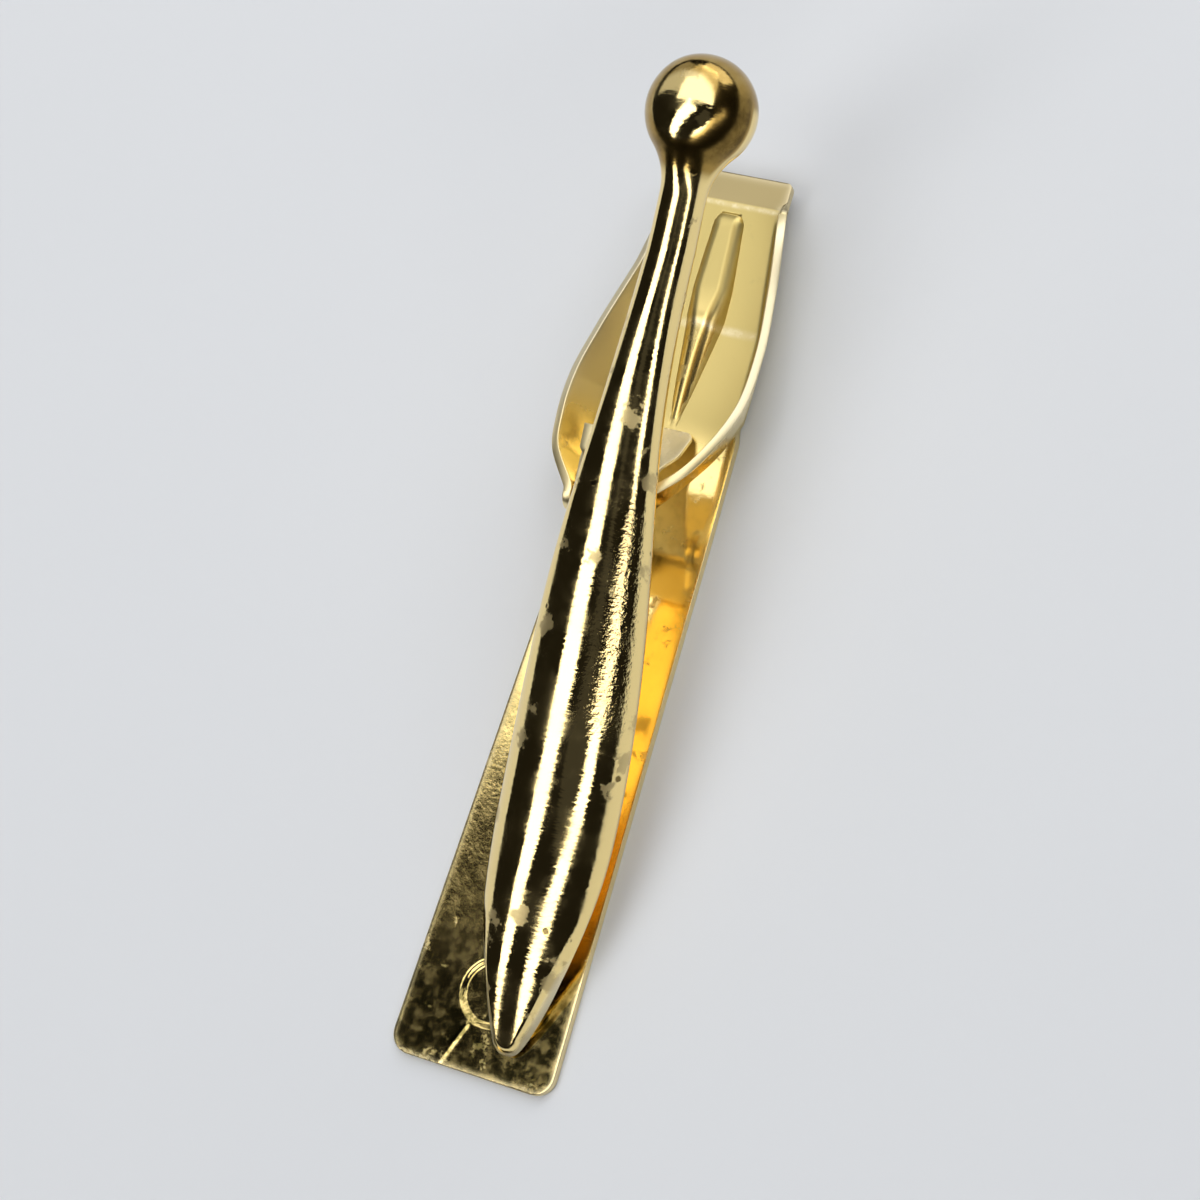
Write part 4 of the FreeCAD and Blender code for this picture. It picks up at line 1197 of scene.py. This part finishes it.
def small_metal(name, finish, film_share, roughness, grain_depth):
    """Metal of a small piece of the hinge, in the finish's colour of that name: faint film, fine grain."""
    film_roughness = roughness + 0.2
    material, tree, shader, place = new_metal(name)
    overlay = blotches(tree, place, size=0.6, threshold=0.55, softness=0.1)
    gold = mix_colour(tree, times(tree, overlay, film_share), getattr(finish, name), finish.tarnish)
    rough = mix_value(tree, overlay, roughness, film_roughness)
    normal = bump(tree, grain(tree, place, lump=0.25, scratches=0.4), grain_depth)
    connect(tree, shader, gold, rough, normal)
    return material


# The stage

def floor_material(stage):
    """Pale, faintly cloudy table that fades into the backdrop far from the clip."""
    fade_start, fade_end = 0.14, 0.40
    cloud_scale, cloud_shade = 60.0, 0.985
    material = bpy.data.materials.new("pale_table")
    material.use_nodes = True
    tree = material.node_tree
    shader = tree.nodes["Principled BSDF"]
    place = add_node(tree, "TexCoord").outputs["Object"]
    cloud = add_node(tree, "TexNoise", None, {"Vector": place, "Scale": cloud_scale, "Detail": 3.0})
    darker = [channel * cloud_shade for channel in stage.floor]
    tree.links.new(mix_colour(tree, cloud.outputs["Fac"], darker, stage.floor), shader.inputs["Base Color"])
    far = add_node(tree, "VectorMath", {"operation": "LENGTH"}, {"Vector": place}).outputs["Value"]
    tree.links.new(ramp(tree, far, fade_end, fade_start), shader.inputs["Alpha"])
    shader.inputs["Roughness"].default_value = 0.9
    shader.inputs["Specular IOR Level"].default_value = 0.1
    return material


def make_floor(stage):
    half = 0.5
    work = bmesh.new()
    bmesh.ops.create_grid(work, x_segments=1, y_segments=1, size=half)
    mesh = bpy.data.meshes.new("table")
    work.to_mesh(mesh)
    work.free()
    floor = bpy.data.objects.new("table", mesh)
    bpy.context.scene.collection.objects.link(floor)
    floor.data.materials.append(floor_material(stage))


def add_lamp(name, start, end, width, radiance, high):
    """A soft lamp between two places, given as shares of its height over the clip, that faces the clip."""
    start = Vector((*start, 1.0)) * high
    end = Vector((*end, 1.0)) * high
    lamp = bpy.data.lights.new(name, "AREA")
    lamp.shape = "RECTANGLE"
    lamp.size = (end - start).length
    lamp.size_y = width * high
    lamp.energy = radiance * math.pi * lamp.size * lamp.size_y
    holder = bpy.data.objects.new(name, lamp)
    middle = (start + end) / 2
    along = (end - start).normalized()
    away = (middle - along * middle.dot(along)).normalized()
    across = away.cross(along)
    turn = Matrix((along, across, away)).transposed()
    holder.matrix_world = Matrix.Translation(middle) @ turn.to_4x4()
    bpy.context.scene.collection.objects.link(holder)


def make_lamps(stage):
    """Two window strips before the clip, broad light over and behind it, dim cards left and in front."""
    high = stage.lamp_height
    add_lamp("left_window", (-0.05, -0.02), (-1.30, -1.45), 0.40, stage.window_light, high)
    add_lamp("right_window", (1.80, 0.05), (0.15, -1.30), 0.31, stage.window_light, high)
    add_lamp("back_light", (0.0, 0.065), (0.0, 2.30), 1.30, stage.back_light, high)
    add_lamp("rear_window", (-0.50, 3.00), (2.00, 2.60), 1.60, stage.back_light, high * 0.7)
    add_lamp("left_card", (-1.50, 0.40), (-1.70, 2.90), 1.50, stage.card_light, high)
    add_lamp("front_card", (0.25, -0.25), (0.85, -0.75), 0.50, stage.dim_light, high)


def make_surround(stage):
    world = bpy.data.worlds.new("dim_room")
    world.use_nodes = True
    tree = world.node_tree
    rays = tree.nodes.new("ShaderNodeLightPath")
    seen = mix_colour(tree, rays.outputs["Is Camera Ray"], stage.surround, stage.backdrop)
    tree.links.new(seen, tree.nodes["Background"].inputs["Color"])
    bpy.context.scene.world = world


def make_camera(stage, millimetres):
    away = Vector((math.tan(stage.camera_across), -math.tan(stage.camera_along), 1.0)).normalized()
    level = Vector((0.0, 1.0, 0.0)).cross(away).normalized()
    upright = away.cross(level)
    roll = stage.camera_roll
    right = level * math.cos(roll) + upright * math.sin(roll)
    up = upright * math.cos(roll) - level * math.sin(roll)
    spot = away * millimetres.camera_distance - right * millimetres.shift_across - up * millimetres.shift_up
    spot += Vector((0.0, HINGE.y, 0.0))
    camera = bpy.data.cameras.new("camera")
    camera.lens = stage.lens
    camera.sensor_width = 36.0
    camera.clip_start = 0.01
    holder = bpy.data.objects.new("camera", camera)
    holder.matrix_world = Matrix.Translation(spot * MM) @ Matrix((right, up, away)).transposed().to_4x4()
    bpy.context.scene.collection.objects.link(holder)
    bpy.context.scene.camera = holder


# Operators

def settings(name):
    return Millimetres(getattr(bpy.context.scene, name))


class TIECLIP_OT_bar(bpy.types.Operator):
    """Make the cast club bar and its worn plate"""
    bl_idname = "tieclip.bar"
    bl_label = "Cast bar"

    def execute(self, context):
        piece = make_bar(settings("tie_clip_bar"))
        piece.data.materials.append(bar_material(context.scene.tie_clip_finish))
        return {"FINISHED"}


class TIECLIP_OT_lever(bpy.types.Operator):
    """Make the stamped lever with its wings, lugs, rib and dimple"""
    bl_idname = "tieclip.lever"
    bl_label = "Stamped lever"

    def execute(self, context):
        lever = settings("tie_clip_lever")
        piece = make_lever(lever)
        piece.data.materials.append(sheet_material(context.scene.tie_clip_finish, lever))
        return {"FINISHED"}


class TIECLIP_OT_hinge(bpy.types.Operator):
    """Make the pin, bracket, solder seam and leaf spring"""
    bl_idname = "tieclip.hinge"
    bl_label = "Hinge pieces"

    def execute(self, context):
        finish = context.scene.tie_clip_finish
        hinge = settings("tie_clip_hinge")
        bar = settings("tie_clip_bar")
        lever = settings("tie_clip_lever")
        sheet = bpy.data.materials.get("sheet_gold") or sheet_material(finish, lever)
        make_bracket(hinge, bar).data.materials.append(sheet)
        make_pin(hinge, lever).data.materials.append(
            small_metal("pin_brass", finish, film_share=0.5, roughness=0.24, grain_depth=0.010))
        make_solder(hinge, bar).data.materials.append(
            small_metal("solder", finish, film_share=0.5, roughness=0.38, grain_depth=0.020))
        make_spring(hinge, bar, lever).data.materials.append(
            small_metal("spring_steel", finish, film_share=0.2, roughness=0.38, grain_depth=0.004))
        return {"FINISHED"}


class TIECLIP_OT_stage(bpy.types.Operator):
    """Set the pale table, the two windows, the dim room and the camera"""
    bl_idname = "tieclip.stage"
    bl_label = "Stage"

    def execute(self, context):
        stage = context.scene.tie_clip_stage
        make_floor(stage)
        make_lamps(stage)
        make_surround(stage)
        make_camera(stage, settings("tie_clip_stage"))
        context.scene.view_settings.view_transform = "Standard"
        return {"FINISHED"}


class TIECLIP_PT_panel(bpy.types.Panel):
    """Lists the tie clip's makers"""
    bl_idname = "TIECLIP_PT_panel"
    bl_label = "Tie clip"
    bl_space_type = "VIEW_3D"
    bl_region_type = "UI"
    bl_category = "Tie clip"

    def draw(self, context):
        for operator in OPERATORS:
            self.layout.operator(operator.bl_idname)


OPERATORS = (TIECLIP_OT_bar, TIECLIP_OT_lever, TIECLIP_OT_hinge, TIECLIP_OT_stage)


def register():
    for group in (*GROUPS.values(), *OPERATORS, TIECLIP_PT_panel):
        bpy.utils.register_class(group)
    for name, group in GROUPS.items():
        setattr(bpy.types.Scene, name, bpy.props.PointerProperty(type=group))


def unregister():
    for name in GROUPS:
        delattr(bpy.types.Scene, name)
    for group in reversed((*GROUPS.values(), *OPERATORS, TIECLIP_PT_panel)):
        bpy.utils.unregister_class(group)


def main():
    register()
    bpy.ops.tieclip.bar()
    bpy.ops.tieclip.lever()
    bpy.ops.tieclip.hinge()
    bpy.ops.tieclip.stage()


if __name__ == "__main__":
    main()
